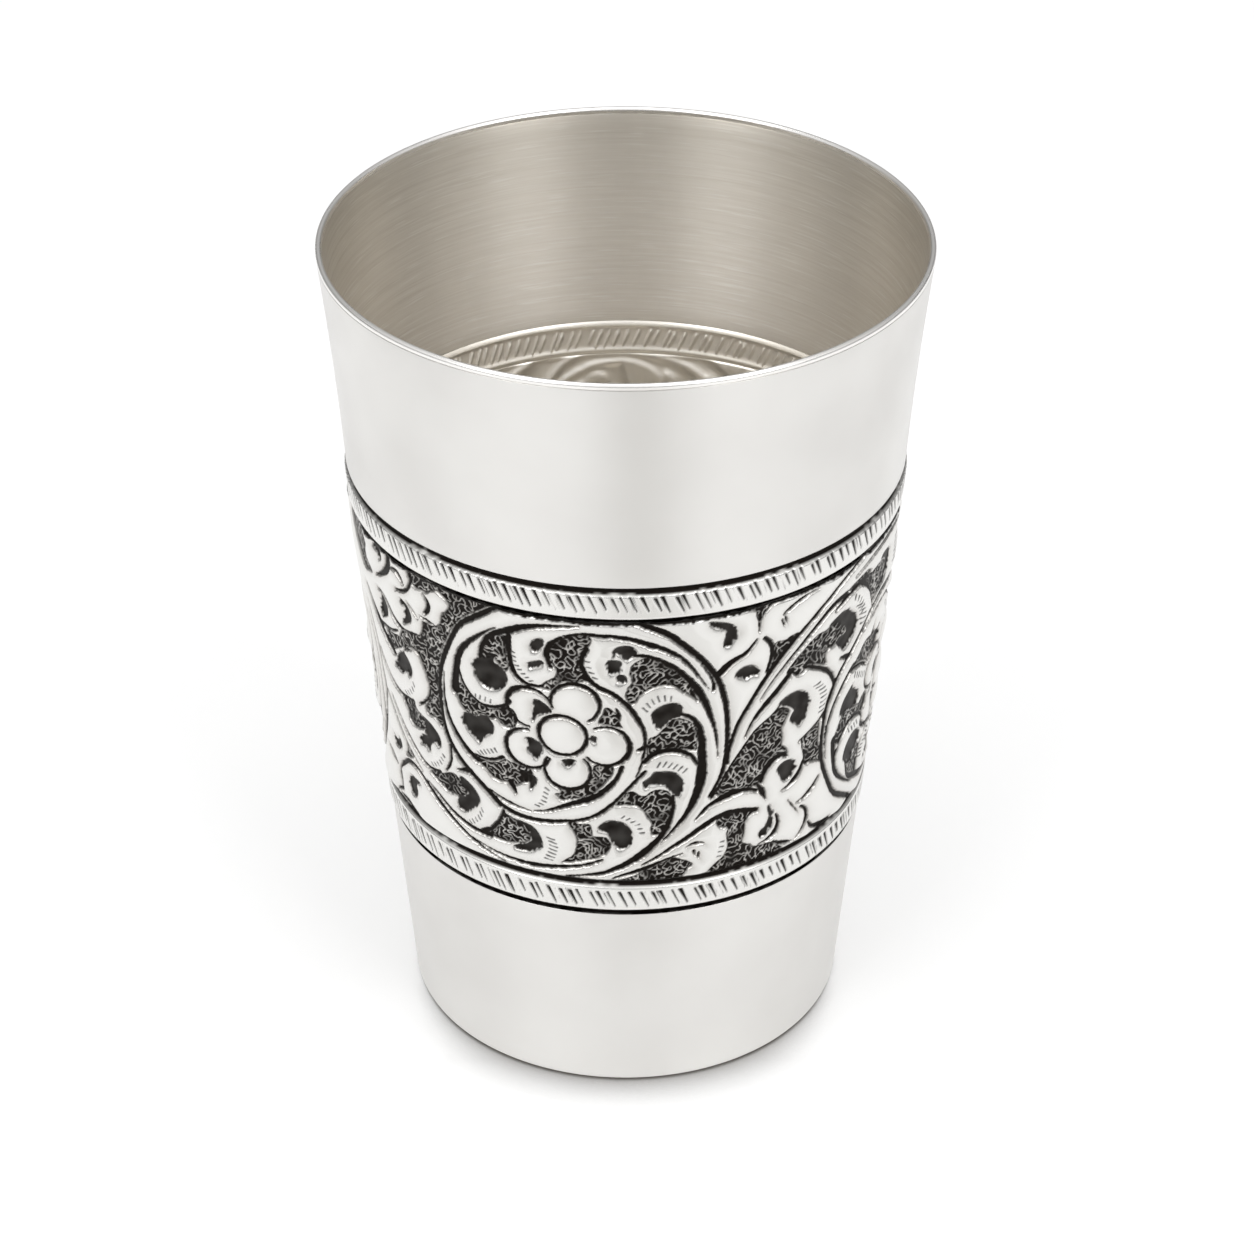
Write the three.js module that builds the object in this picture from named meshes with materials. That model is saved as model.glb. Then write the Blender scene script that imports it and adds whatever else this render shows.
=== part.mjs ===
// A tapered silver tumbler that holds a drink: a plain collar and lower wall of sheet,
// a chased frieze between two hatched borders, a rim wire and a base disc.
// Millimetres, +Z up, origin at the centre of the underside.
// Every ring is turned from a section; neighbours meet in a lap filled with solder.

import * as THREE from 'three';

// Heights, from the underside up to the rim
const BASE_THICKNESS = 1.2;
const LOWER_WALL_HEIGHT = 25.45;
const LOWER_OUTER_GROOVE = 1.05;
const LOWER_STRIP = 3.5;
const LOWER_INNER_GROOVE = 0.7;
const FRIEZE_HEIGHT = 36.9;
const UPPER_INNER_GROOVE = 1.05;
const UPPER_STRIP = 2.55;
const UPPER_OUTER_GROOVE = 1.15;
const COLLAR_HEIGHT = 25.7;
const RIM_HEIGHT = 0.75;

// Outer radii of the plain wall, at the floor, at the two outer seams and at the mouth
const FLOOR_RADIUS = 26.16;
const LOWER_SEAM_RADIUS = 28.57;
const UPPER_SEAM_RADIUS = 32.42;
const MOUTH_RADIUS = 34.85;
const COLLAR_SAG = 0.2; // how far the flared collar dips below a straight cone at mid height

// Sheet metal and what is chased into it
const SHEET = 0.7;
const GROOVE_DEPTH = 0.35;
const GROOVE_FLANK = 0.2; // height of the slope between a groove and its strip
const STRIP_PROUD = 0.25;
const FRIEZE_PROUD = 0.2;

// Soldered joints
const LAP = 0.6; // height of a tongue inside its neighbour's rebate
const SOLDER_GAP = 0.05; // film of solder between two pieces
const RIM_TONGUE = 0.3; // radial thickness of the rim wire's tongue
const SPIGOT_HEIGHT = 0.7; // raised centre of the base disc, inside the lower wall

// Rounded edges
const RIM_CROWN = 0.4; // height of the rounded top of the rim wire
const RIM_OVERHANG = 0.1; // how far the rim wire stands inside the collar
const BASE_CORNER = 1.1; // radius of the corner that the cup stands on

// Steps of the turned shapes
const RING_SEGMENTS = 72;
const COLLAR_STEPS = 4;
const CROWN_STEPS = 6;
const CORNER_STEPS = 4;

// Levels, each the seam between two pieces
const LOWER_SEAM = BASE_THICKNESS + LOWER_WALL_HEIGHT;
const FRIEZE_FOOT = LOWER_SEAM + LOWER_OUTER_GROOVE + LOWER_STRIP + LOWER_INNER_GROOVE;
const FRIEZE_TOP = FRIEZE_FOOT + FRIEZE_HEIGHT;
const UPPER_SEAM = FRIEZE_TOP + UPPER_INNER_GROOVE + UPPER_STRIP + UPPER_OUTER_GROOVE;
const RIM_SEAM = UPPER_SEAM + COLLAR_HEIGHT;
const MOUTH = RIM_SEAM + RIM_HEIGHT;

// Offsets of a section from the plain outer wall
const FACE = 0;
const BACK = -SHEET;
const GROOVE_FLOOR = -GROOVE_DEPTH;
const REBATE = GROOVE_FLOOR + SOLDER_GAP; // the skin left outside a border's tongue

// Outer radius of the plain wall at a height: two straight cones and the flared collar.
function wallRadius(z) {
  const levels = [0, LOWER_SEAM, UPPER_SEAM, MOUTH];
  const radii = [FLOOR_RADIUS, LOWER_SEAM_RADIUS, UPPER_SEAM_RADIUS, MOUTH_RADIUS];
  const stretch = z <= LOWER_SEAM ? 0 : z <= UPPER_SEAM ? 1 : 2;
  const t = (z - levels[stretch]) / (levels[stretch + 1] - levels[stretch]);
  const straight = THREE.MathUtils.lerp(radii[stretch], radii[stretch + 1], t);
  return stretch === 2 ? straight - 4 * COLLAR_SAG * t * (1 - t) : straight;
}

// A section point: an offset from the plain wall at a height.
function at(offset, z) {
  return new THREE.Vector2(wallRadius(z) + offset, z);
}

// Turn a section about +Z. The section runs up the outside and down the inside.
function turn(section) {
  return new THREE.LatheGeometry(section, RING_SEGMENTS).rotateX(Math.PI / 2);
}

// A ring's closed section ends where it starts.
function turnRing(section) {
  return turn([...section, section[0].clone()]);
}

// Levels along a flared stretch, both ends included.
function stepsBetween(low, high, count) {
  return Array.from({ length: count + 1 }, (_, i) => THREE.MathUtils.lerp(low, high, i / count));
}

// The disc under the cup: a rounded standing edge, and a spigot that locates the lower wall.
function baseDisc() {
  const corner = Math.min(BASE_CORNER, 0.95 * BASE_THICKNESS);
  const standing = wallRadius(corner) - corner;
  const edge = stepsBetween(0, Math.PI / 2, CORNER_STEPS).map(
    (angle) => new THREE.Vector2(
      standing + corner * Math.sin(angle),
      corner * (1 - Math.cos(angle)),
    ),
  );
  const spigotTop = BASE_THICKNESS + SPIGOT_HEIGHT;
  const spigotSide = BACK - SOLDER_GAP;
  return turn([
    new THREE.Vector2(0, 0),
    ...edge,
    at(FACE, BASE_THICKNESS),
    at(spigotSide, BASE_THICKNESS),
    at(spigotSide, spigotTop),
    new THREE.Vector2(0, spigotTop),
  ]);
}

// The plain wall between the base disc and the lower border, rebated at its top.
function lowerWall() {
  const foot = BASE_THICKNESS + SOLDER_GAP;
  const shoulder = LOWER_SEAM - LAP - SOLDER_GAP;
  return turnRing([
    at(FACE, foot),
    at(FACE, LOWER_SEAM),
    at(REBATE, LOWER_SEAM),
    at(REBATE, shoulder),
    at(BACK, shoulder),
    at(BACK, foot),
  ]);
}

// A border: a proud strip between two grooves, with a tongue at each end.
// The sheet keeps its thickness, so each groove shows as a ridge inside the cup.
function border(foot, lowGroove, strip, highGroove) {
  const stripFoot = foot + lowGroove;
  const stripTop = stripFoot + strip;
  const top = stripTop + highGroove;
  const outside = [
    [GROOVE_FLOOR, foot - LAP],
    [GROOVE_FLOOR, foot],
    [GROOVE_FLOOR, stripFoot],
    [STRIP_PROUD, stripFoot + GROOVE_FLANK],
    [STRIP_PROUD, stripTop - GROOVE_FLANK],
    [GROOVE_FLOOR, stripTop],
    [GROOVE_FLOOR, top],
    [GROOVE_FLOOR, top + LAP],
  ];
  const inside = outside.map(([offset, z]) => at(offset - SHEET, z)).reverse();
  return turnRing([...outside.map(([offset, z]) => at(offset, z)), ...inside]);
}

// The chased band, standing a little proud, rebated at both ends for the borders' tongues.
function friezeBand() {
  const back = FRIEZE_PROUD - SHEET;
  const lowShoulder = FRIEZE_FOOT + LAP + SOLDER_GAP;
  const highShoulder = FRIEZE_TOP - LAP - SOLDER_GAP;
  return turnRing([
    at(FRIEZE_PROUD, FRIEZE_FOOT),
    at(FRIEZE_PROUD, FRIEZE_TOP),
    at(REBATE, FRIEZE_TOP),
    at(REBATE, highShoulder),
    at(back, highShoulder),
    at(back, lowShoulder),
    at(REBATE, lowShoulder),
    at(REBATE, FRIEZE_FOOT),
  ]);
}

// The plain flared collar, rebated below for the border and above for the rim wire.
function collar() {
  const lowShoulder = UPPER_SEAM + LAP + SOLDER_GAP;
  const highShoulder = RIM_SEAM - LAP - SOLDER_GAP;
  const rimRebate = BACK + RIM_TONGUE + SOLDER_GAP;
  return turnRing([
    ...stepsBetween(UPPER_SEAM, RIM_SEAM, COLLAR_STEPS).map((z) => at(FACE, z)),
    at(rimRebate, RIM_SEAM),
    at(rimRebate, highShoulder),
    ...stepsBetween(highShoulder, lowShoulder, COLLAR_STEPS).map((z) => at(BACK, z)),
    at(REBATE, lowShoulder),
    at(REBATE, UPPER_SEAM),
  ]);
}

// The wire round the mouth: a rounded crown, and a tongue down inside the collar.
function rimWire() {
  const foot = RIM_SEAM + SOLDER_GAP;
  const inner = BACK - RIM_OVERHANG;
  const halfWidth = (FACE - inner) / 2;
  const springing = MOUTH - RIM_CROWN;
  const crownMiddle = wallRadius(springing) + FACE - halfWidth;
  const crown = stepsBetween(0, Math.PI, CROWN_STEPS).map(
    (angle) => new THREE.Vector2(
      crownMiddle + halfWidth * Math.cos(angle),
      springing + RIM_CROWN * Math.sin(angle),
    ),
  );
  return turnRing([
    at(BACK + RIM_TONGUE, foot),
    at(FACE, foot),
    ...crown,
    at(inner, foot),
    at(BACK, foot),
    at(BACK, RIM_SEAM - LAP),
    at(BACK + RIM_TONGUE, RIM_SEAM - LAP),
  ]);
}

const polishedSilver = new THREE.MeshStandardMaterial({ color: 0xf2f1ef, roughness: 0.16, metalness: 1 });
const satinSilver = new THREE.MeshStandardMaterial({ color: 0xe3e1dd, roughness: 0.34, metalness: 1 });
const oxidisedSilver = new THREE.MeshStandardMaterial({ color: 0x9b9791, roughness: 0.42, metalness: 1 });

const tumbler = new THREE.Group();
tumbler.name = 'silver_tumbler';

function addPiece(name, geometry, material) {
  const piece = new THREE.Mesh(geometry, material);
  piece.name = name;
  tumbler.add(piece);
}

addPiece('base_disc', baseDisc(), satinSilver);
addPiece('lower_wall', lowerWall(), satinSilver);
addPiece(
  'lower_border',
  border(LOWER_SEAM, LOWER_OUTER_GROOVE, LOWER_STRIP, LOWER_INNER_GROOVE),
  oxidisedSilver,
);
addPiece('frieze_band', friezeBand(), oxidisedSilver);
addPiece(
  'upper_border',
  border(FRIEZE_TOP, UPPER_INNER_GROOVE, UPPER_STRIP, UPPER_OUTER_GROOVE),
  oxidisedSilver,
);
addPiece('collar', collar(), satinSilver);
addPiece('rim_wire', rimWire(), polishedSilver);

export default tumbler;
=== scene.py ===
"""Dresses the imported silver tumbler: turned sheet, hatched borders and a chased scroll frieze.

Sizes are in millimetres and become metres when a mesh is made. +Z is up and -Y faces the viewer.
"""

from __future__ import annotations

import logging
import math
from dataclasses import dataclass
from enum import Enum
from functools import partial
from typing import Any, Callable

import bpy
import numpy as np
from mathutils import Euler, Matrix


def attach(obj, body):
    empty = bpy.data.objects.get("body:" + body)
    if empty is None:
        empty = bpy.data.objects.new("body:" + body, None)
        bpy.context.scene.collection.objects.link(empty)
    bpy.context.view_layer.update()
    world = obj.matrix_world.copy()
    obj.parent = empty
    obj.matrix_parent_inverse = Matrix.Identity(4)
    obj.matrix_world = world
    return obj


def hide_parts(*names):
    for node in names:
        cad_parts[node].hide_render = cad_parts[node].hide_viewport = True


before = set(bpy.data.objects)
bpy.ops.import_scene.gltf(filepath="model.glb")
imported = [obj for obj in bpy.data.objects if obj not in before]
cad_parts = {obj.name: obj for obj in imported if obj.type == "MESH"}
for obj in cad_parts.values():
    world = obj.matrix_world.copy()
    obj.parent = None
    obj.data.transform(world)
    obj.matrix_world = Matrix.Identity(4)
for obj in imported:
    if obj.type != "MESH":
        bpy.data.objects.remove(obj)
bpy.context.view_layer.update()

log = logging.getLogger("tumbler")
MM = 0.001
CREASE = math.radians(40)  # sharper edges than this stay sharp
EVERY_LEVEL = (-1.0, 101.0)
ROUND_SHARE = 0.45  # a rounding takes at most this share of a side
NOISE = (0.3, 0.7)  # most of a noise texture lies between these
WHITE = (1.0, 1.0, 1.0, 1.0)
SQUARE = ((-1, -1), (1, -1), (1, 1), (-1, 1))

Array = np.ndarray
Pair = tuple[float, float]
Placing = Callable[[Array], Array]
Adding = Callable[..., Any]


class Slot(Enum):
    """Material slots of the record."""

    POLISHED = "polished_silver"
    SATIN = "satin_silver"
    OXIDISED = "oxidised_silver"


# Small helpers for colours, nodes and meshes


def linear(code: str) -> tuple[float, float, float, float]:
    """Turns an sRGB hex colour into a linear one.

    Args:
        code: Six hex digits, with or without a leading hash sign.

    Returns:
        Linear red, green, blue and an alpha of 1.
    """
    digits = code.lstrip("#")
    shares = [int(digits[i:i + 2], 16) / 255 for i in (0, 2, 4)]
    red, green, blue = (v / 12.92 if v <= 0.04045 else ((v + 0.055) / 1.055) ** 2.4 for v in shares)
    return red, green, blue, 1.0


def metres(lengths: tuple[float, ...]) -> list[float]:
    """Turns millimetres into metres."""
    return [length * MM for length in lengths]


def feed(node: bpy.types.Node, feeds: dict[Any, Any]) -> None:
    """Sets a node's plain inputs and links the others.

    Args:
        node: The node.
        feeds: Input name or number, with the value or the socket that feeds it.
    """
    for key, value in feeds.items():
        if isinstance(value, bpy.types.NodeSocket):
            node.id_data.links.new(value, node.inputs[key])
        else:
            node.inputs[key].default_value = value


def put(tree: bpy.types.NodeTree, kind: str, *feeds: Any, pick: str | None = None, **named: Any) -> Any:
    """Adds a node with its settings and links.

    Args:
        tree: The node tree that takes the node.
        kind: Blender's name of the node type, where ShaderNode in front may be left out.
        feeds: Values or sockets for the inputs in use, in their order.
        pick: Name of the output that is wanted, if it isn't the first in use.
        named: Settings of the node, and other inputs, whose names start with a capital.

    Returns:
        That output, if the node has any.
    """
    node = tree.nodes.new(kind if "Node" in kind else f"ShaderNode{kind}")
    inputs = {key: value for key, value in named.items() if key[0].isupper()}
    for key, value in named.items():
        if key not in inputs:
            setattr(node, key, value)
    in_use = [number for number, socket in enumerate(node.inputs) if socket.enabled]
    feed(node, dict(zip(in_use, feeds)) | inputs)
    return node.outputs[pick] if pick else next((socket for socket in node.outputs if socket.enabled), None)


def blank(name: str) -> tuple[bpy.types.Material, bpy.types.Node, Adding]:
    """Starts a node material.

    Args:
        name: Its name.

    Returns:
        The material, its shader node and the function that adds nodes to it.
    """
    material = bpy.data.materials.new(name)
    material.use_nodes = True
    tree = material.node_tree
    return material, tree.nodes["Principled BSDF"], partial(put, tree)


def mesh_piece(name: str, points: Array, quads: Array, triangles: Array | None = None) -> bpy.types.Object:
    """Makes an object from points and faces.

    Args:
        name: Name of the piece.
        points: Points in millimetres, one a row.
        quads: Corner numbers of the four-sided faces.
        triangles: Corner numbers of the three-sided faces, if any.

    Returns:
        The object, linked to the scene, with smooth faces.
    """
    triangles = np.zeros((0, 3), int) if triangles is None else triangles
    mesh = bpy.data.meshes.new(name)
    mesh.vertices.add(len(points))
    mesh.vertices.foreach_set("co", (points * MM).astype(np.float32).ravel())
    corners = np.concatenate([quads.ravel(), triangles.ravel()]).astype(np.int32)
    mesh.loops.add(len(corners))
    mesh.loops.foreach_set("vertex_index", corners)
    counts = np.concatenate([np.full(len(quads), 4), np.full(len(triangles), 3)])
    mesh.polygons.add(len(counts))
    mesh.polygons.foreach_set("loop_start", (np.cumsum(counts) - counts).astype(np.int32))
    mesh.update(calc_edges=True)
    mesh.validate()
    mesh.polygons.foreach_set("use_smooth", np.ones(len(mesh.polygons), bool))
    piece = bpy.data.objects.new(name, mesh)
    bpy.context.scene.collection.objects.link(piece)
    return piece


def write_attribute(piece: bpy.types.Object, name: str, values: Array) -> None:
    """Stores one number for each point of a piece.

    Args:
        piece: The mesh object.
        name: Name of the attribute.
        values: One value for each point.
    """
    attribute = piece.data.attributes.new(name, "FLOAT", "POINT")
    attribute.data.foreach_set("value", values.astype(np.float32).ravel())


def hand_over(
    piece: bpy.types.Object, node: str, finish: bpy.types.Material | None = None,
) -> None:
    """Lets a finished piece stand for its CAD node.

    Args:
        piece: The finished mesh object.
        node: The CAD node that it replaces.
        finish: Its material, if it has none yet.
    """
    if finish:
        piece.data.materials.append(finish)
    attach(piece, "root")
    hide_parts(node)
    log.info("%s stands for %s: %d faces", piece.name, node, len(piece.data.polygons))


# Finishes


@dataclass(frozen=True)
class SatinSilver:
    """Sterling sheet, planished and rubbed with pumice outside and brushed round the axis inside.

    Outside it gives wide soft reflections. Inside, fine rings from the brush break them up,
    and a slightly warm painted shade darkens it towards the mouth and towards the floor.
    """

    outside: str = "#E3E2DF"
    outside_shade: str = "#DBD9D6"
    inside: str = "#F4F0E9"
    inside_shade: str = "#E2DCD3"
    inside_painted_shade: str = "#E9E8E5"  # painted shade, laid over the inside towards the mouth and towards its floor
    painted_shade_mouth: Pair = (75.0, 99.0)
    painted_shade_floor: Pair = (6.0, 2.0)
    roughness: float = 0.34
    wear: Pair = (-0.03, 0.04)  # how far rubbing changes the roughness
    inside_roughness: float = 0.45
    inside_wear: Pair = (-0.05, 0.05)
    anisotropy: float = 0.8  # brushed round, so light spreads up and down
    quarter_turn: float = 0.25
    cloud: float = 14.0  # size of the faint clouds that rubbing leaves
    ring_length: float = 22.0  # length of a brush mark
    ring_spacing: float = 0.34  # real brush marks are 0.05 apart, too fine to show, so they are drawn coarser
    ring_depth: float = 0.006
    # real scratches, painted brighter than the silver as a painted highlight
    scratch_glint: str = "#FFFDF8"
    scratch_length: float = 5.5
    scratch_spacing: float = 0.21  # real scratches are 0.02 wide, too fine to show, so they are drawn coarser
    scratch_band: Pair = (0.6, 0.72)  # the noise from which a scratch starts, and where it is full
    scratch_share: float = 0.55

    def material(self) -> bpy.types.Material:
        """Builds the node material.

        Returns:
            The material, which reads the attribute called inside.
        """
        material, shader, add = blank("satin_silver_sheet")
        place = add("TexCoord", pick="Object")
        inside = add("Attribute", pick="Fac", attribute_name="inside")
        cloud = add("TexNoise", place, Scale=1 / (self.cloud * MM), Detail=3.0)
        x, y, z = add("SeparateXYZ", place).node.outputs
        outward = add("VectorMath", add("CombineXYZ", x, y), operation="LENGTH")
        lathe = add("CombineXYZ", x, y, add("Math", z, outward, operation="SUBTRACT"))
        around, up = 1 / (self.ring_length * MM), 1 / (self.ring_spacing * MM)
        stretched = add("Mapping", lathe, Scale=(around, around, up))
        rings = add("TexNoise", stretched, Scale=1.0, Detail=5.0, Roughness=0.75)
        marks = add("MapRange", rings, *NOISE)
        around, up = 1 / (self.scratch_length * MM), 1 / (self.scratch_spacing * MM)
        drawn_out = add("Mapping", lathe, Scale=(around, around, up))
        fine = add("TexNoise", drawn_out, Scale=1.0, Detail=1.0)
        # painted highlight: the scratches show as bright glints in the colour
        glint = add("MapRange", fine, *self.scratch_band, 0.0, self.scratch_share)
        # painted shade: the inside turns darker towards the mouth and towards the floor
        near_mouth = add("MapRange", z, *metres(self.painted_shade_mouth))
        near_floor = add("MapRange", z, *metres(self.painted_shade_floor))
        painted_shade_share = add("Math", near_mouth, near_floor, operation="MAXIMUM")
        rubbed = add("Mix", cloud, linear(self.outside), linear(self.outside_shade), data_type="RGBA")
        brushed = add("Mix", marks, linear(self.inside), linear(self.inside_shade), data_type="RGBA")
        scratch_glinted = add("Mix", glint, brushed, linear(self.scratch_glint), data_type="RGBA")
        painted_shaded = add("Mix", painted_shade_share, scratch_glinted, linear(self.inside_painted_shade), data_type="RGBA", blend_type="MULTIPLY")
        outer = add("MapRange", cloud, *NOISE, *(self.roughness + wear for wear in self.wear))
        inner = add("MapRange", marks, 0.0, 1.0, *(self.inside_roughness + wear for wear in self.inside_wear))
        feed(shader, {
            "Base Color": add("Mix", inside, rubbed, painted_shaded, data_type="RGBA"),
            "Roughness": add("Mix", inside, outer, inner, data_type="FLOAT"),
            "Normal": add("Bump", Height=rings, Strength=inside, Distance=self.ring_depth * MM),
            "Tangent": add("Tangent", direction_type="RADIAL", axis="Z"),
            "Anisotropic": self.anisotropy,
            "Anisotropic Rotation": self.quarter_turn,
            "Metallic": 1.0,
        })
        return material


@dataclass(frozen=True)
class PolishedSilver:
    """Drawn silver wire, burnished along its length: clean bright reflections with short faint streaks."""

    bright: str = "#F4F3F1"
    worn: str = "#E6E3DF"
    roughness: float = 0.28
    wear: Pair = (-0.03, 0.05)
    streak_length: float = 9.0
    streak_width: float = 0.3

    def material(self) -> bpy.types.Material:
        """Builds the node material.

        Returns:
            The material.
        """
        material, shader, add = blank("polished_silver_wire")
        around, up = 1 / (self.streak_length * MM), 1 / (self.streak_width * MM)
        stretched = add("Mapping", add("TexCoord", pick="Object"), Scale=(around, around, up))
        streak = add("TexNoise", stretched, Scale=1.0, Detail=3.0)
        feed(shader, {
            "Base Color": add("Mix", streak, linear(self.bright), linear(self.worn), data_type="RGBA"),
            "Roughness": add("MapRange", streak, *NOISE, *(self.roughness + wear for wear in self.wear)),
            "Metallic": 1.0,
        })
        return material


@dataclass(frozen=True)
class OxidisedSilver:
    """Chased silver blackened with liver of sulphur and rubbed bright on the high places.

    The cuts and the ground keep a dull brown-black film, and the raised work is white silver
    with a little grey beside each cut and hollow, partly oxide left there and partly painted shade.
    """

    bright: str = "#E1E0DD"
    # grey beside the cuts and on the scoops: partly oxide that rubbing left, partly painted shade
    rubbed: str = "#B4AFA9"
    film: str = "#0C0907"
    film_thin: str = "#1F1914"
    back: str = "#F8F4ED"
    roughness: float = 0.27
    back_roughness: float = 0.4
    film_roughness: float = 0.55
    film_metal: float = 0.9
    grit: float = 0.45  # size of the specks left in the film
    cloud: float = 6.0

    def material(self) -> bpy.types.Material:
        """Builds the node material.

        Returns:
            The material, which reads the attributes called oxide, shade and inside.
        """
        material, shader, add = blank("oxidised_chased_silver")
        place = add("TexCoord", pick="Object")
        oxide, shade, inside = (
            add("Attribute", pick="Fac", attribute_name=name) for name in ("oxide", "shade", "inside")
        )
        cloud = add("TexNoise", place, Scale=1 / (self.cloud * MM), Detail=3.0)
        grit = add("TexNoise", place, Scale=1 / (self.grit * MM), Detail=2.0)
        # the shade attribute lays that grey: partly left oxide, partly painted shade
        left = add("Math", shade, cloud, operation="MULTIPLY")
        outer = add("Mix", left, linear(self.bright), linear(self.rubbed), data_type="RGBA")
        metal = add("Mix", inside, outer, linear(self.back), data_type="RGBA")
        film = add("Mix", grit, linear(self.film), linear(self.film_thin), data_type="RGBA")
        bare = add("MapRange", inside, 0.0, 1.0, self.roughness, self.back_roughness)
        feed(shader, {
            "Base Color": add("Mix", oxide, metal, film, data_type="RGBA"),
            "Roughness": add("Mix", oxide, bare, self.film_roughness, data_type="FLOAT"),
            "Metallic": add("MapRange", oxide, 0.0, 1.0, 1.0, self.film_metal),
        })
        return material


# The shape that all the rings share


@dataclass(frozen=True)
class Wall:
    """Levels, radii and sheet of the cup, as the solids have them."""

    floor_radius: float = 26.16
    lower_seam: float = 26.65
    lower_seam_radius: float = 28.57
    upper_seam: float = 73.55
    upper_seam_radius: float = 32.42
    mouth: float = 100.0
    mouth_radius: float = 34.85
    collar_sag: float = 0.2
    sheet: float = 0.7
    groove_depth: float = 0.35
    lap: float = 0.6
    solder_gap: float = 0.05
    skirt: float = 0.86  # how far the collar runs down inside, behind the upper border
    skirt_face: float = -0.47  # where it meets that border
    inside_share: float = 0.6  # deeper in the sheet than this counts as inside

    def radius(self, z: Array | float) -> Array:
        """Outer radius of the plain wall.

        Args:
            z: Heights above the underside.

        Returns:
            The radius at each height.
        """
        z = np.asarray(z, float)
        levels = [0.0, self.lower_seam, self.upper_seam, self.mouth]
        radii = [self.floor_radius, self.lower_seam_radius, self.upper_seam_radius, self.mouth_radius]
        along = np.clip((z - self.upper_seam) / (self.mouth - self.upper_seam), 0, 1)
        return np.interp(z, levels, radii) - 4 * self.collar_sag * along * (1 - along)

    def section(self, corners: list[Pair] | Array) -> Array:
        """Turns offsets from the plain wall into radii.

        Args:
            corners: Offset and height of each corner.

        Returns:
            Radius and height of each corner.
        """
        pairs = np.array(corners, float)
        return np.stack([self.radius(pairs[:, 1]) + pairs[:, 0], pairs[:, 1]], axis=1)


def softened(section: Array, radius: float, closed: bool = True, steps: int = 3) -> Array:
    """Rounds the corners of a section.

    Args:
        section: Radius and height of each corner, in order.
        radius: How far from a corner the rounding starts.
        closed: Whether the last corner joins the first.
        steps: Points of each rounding, less one.

    Returns:
        The section with each corner replaced by a short curve.
    """
    out = []
    count = len(section)
    for i, corner in enumerate(section):
        if not closed and i in (0, count - 1):
            out.append(corner)
            continue
        before = section[i - 1] - corner
        after = section[(i + 1) % count] - corner
        reach = min(radius, ROUND_SHARE * np.hypot(*before), ROUND_SHARE * np.hypot(*after))
        start = corner + before / np.hypot(*before) * reach
        end = corner + after / np.hypot(*after) * reach
        for t in np.linspace(0, 1, steps + 1):
            out.append((1 - t) ** 2 * start + 2 * t * (1 - t) * corner + t ** 2 * end)
    return np.array(out)


def filled(section: Array, step: float, closed: bool = True, span: Pair = EVERY_LEVEL) -> Array:
    """Adds points to the long sides of a section.

    Args:
        section: Radius and height of each point, in order.
        step: Longest side that is left.
        closed: Whether the last point joins the first.
        span: Lowest and highest level of the sides that are divided.

    Returns:
        The section with its long sides divided evenly.
    """
    ends = np.roll(section, -1, axis=0) if closed else section[1:]
    out = []
    for a, b in zip(section, ends):
        inside = span[0] <= min(a[1], b[1]) and max(a[1], b[1]) <= span[1]
        count = max(1, math.ceil(np.hypot(*(b - a)) / step)) if inside else 1
        out.extend(a + (b - a) * k / count for k in range(count))
    if not closed:
        out.append(section[-1])
    return np.array(out)


def ring_points(section: Array, segments: int) -> Array:
    """Turns a section about +Z.

    Args:
        section: Radius and height of each point.
        segments: Steps round the axis.

    Returns:
        Points in rows, one row for each section point.
    """
    turn = np.linspace(0, math.tau, segments, endpoint=False)
    x = section[:, :1] * np.sin(turn)
    y = -section[:, :1] * np.cos(turn)
    z = np.repeat(section[:, 1:], segments, axis=1)
    return np.stack([x, y, z], axis=-1).reshape(-1, 3)


def ring_faces(rows: int, segments: int, closed: bool) -> Array:
    """Faces of a turned section that runs up the outside and down the inside.

    Args:
        rows: Points of the section.
        segments: Steps round the axis.
        closed: Whether the last row joins the first.

    Returns:
        Corner numbers of the faces, pointing outwards.
    """
    low = np.arange(rows if closed else rows - 1)
    i, j = np.meshgrid(low, np.arange(segments), indexing="ij")
    up = (i + 1) % rows
    on = (j + 1) % segments
    corners = [i * segments + j, i * segments + on, up * segments + on, up * segments + j]
    return np.stack(corners, axis=-1).reshape(-1, 4)


def turned_ring(name: str, section: Array, segments: int, wall: Wall) -> bpy.types.Object:
    """Makes a closed ring and marks which points face the inside of the cup.

    Args:
        name: Name of the piece.
        section: Closed section, up the outside and down the inside.
        segments: Steps round the axis.
        wall: The shape that tells outside from inside.

    Returns:
        The ring, with an attribute called inside.
    """
    piece = mesh_piece(name, ring_points(section, segments), ring_faces(len(section), segments, True))
    depth = wall.radius(section[:, 1]) - section[:, 0]
    write_attribute(piece, "inside", np.repeat(depth > wall.inside_share * wall.sheet, segments))
    piece.data.set_sharp_from_angle(angle=CREASE)
    return piece


# The plain pieces


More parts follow.
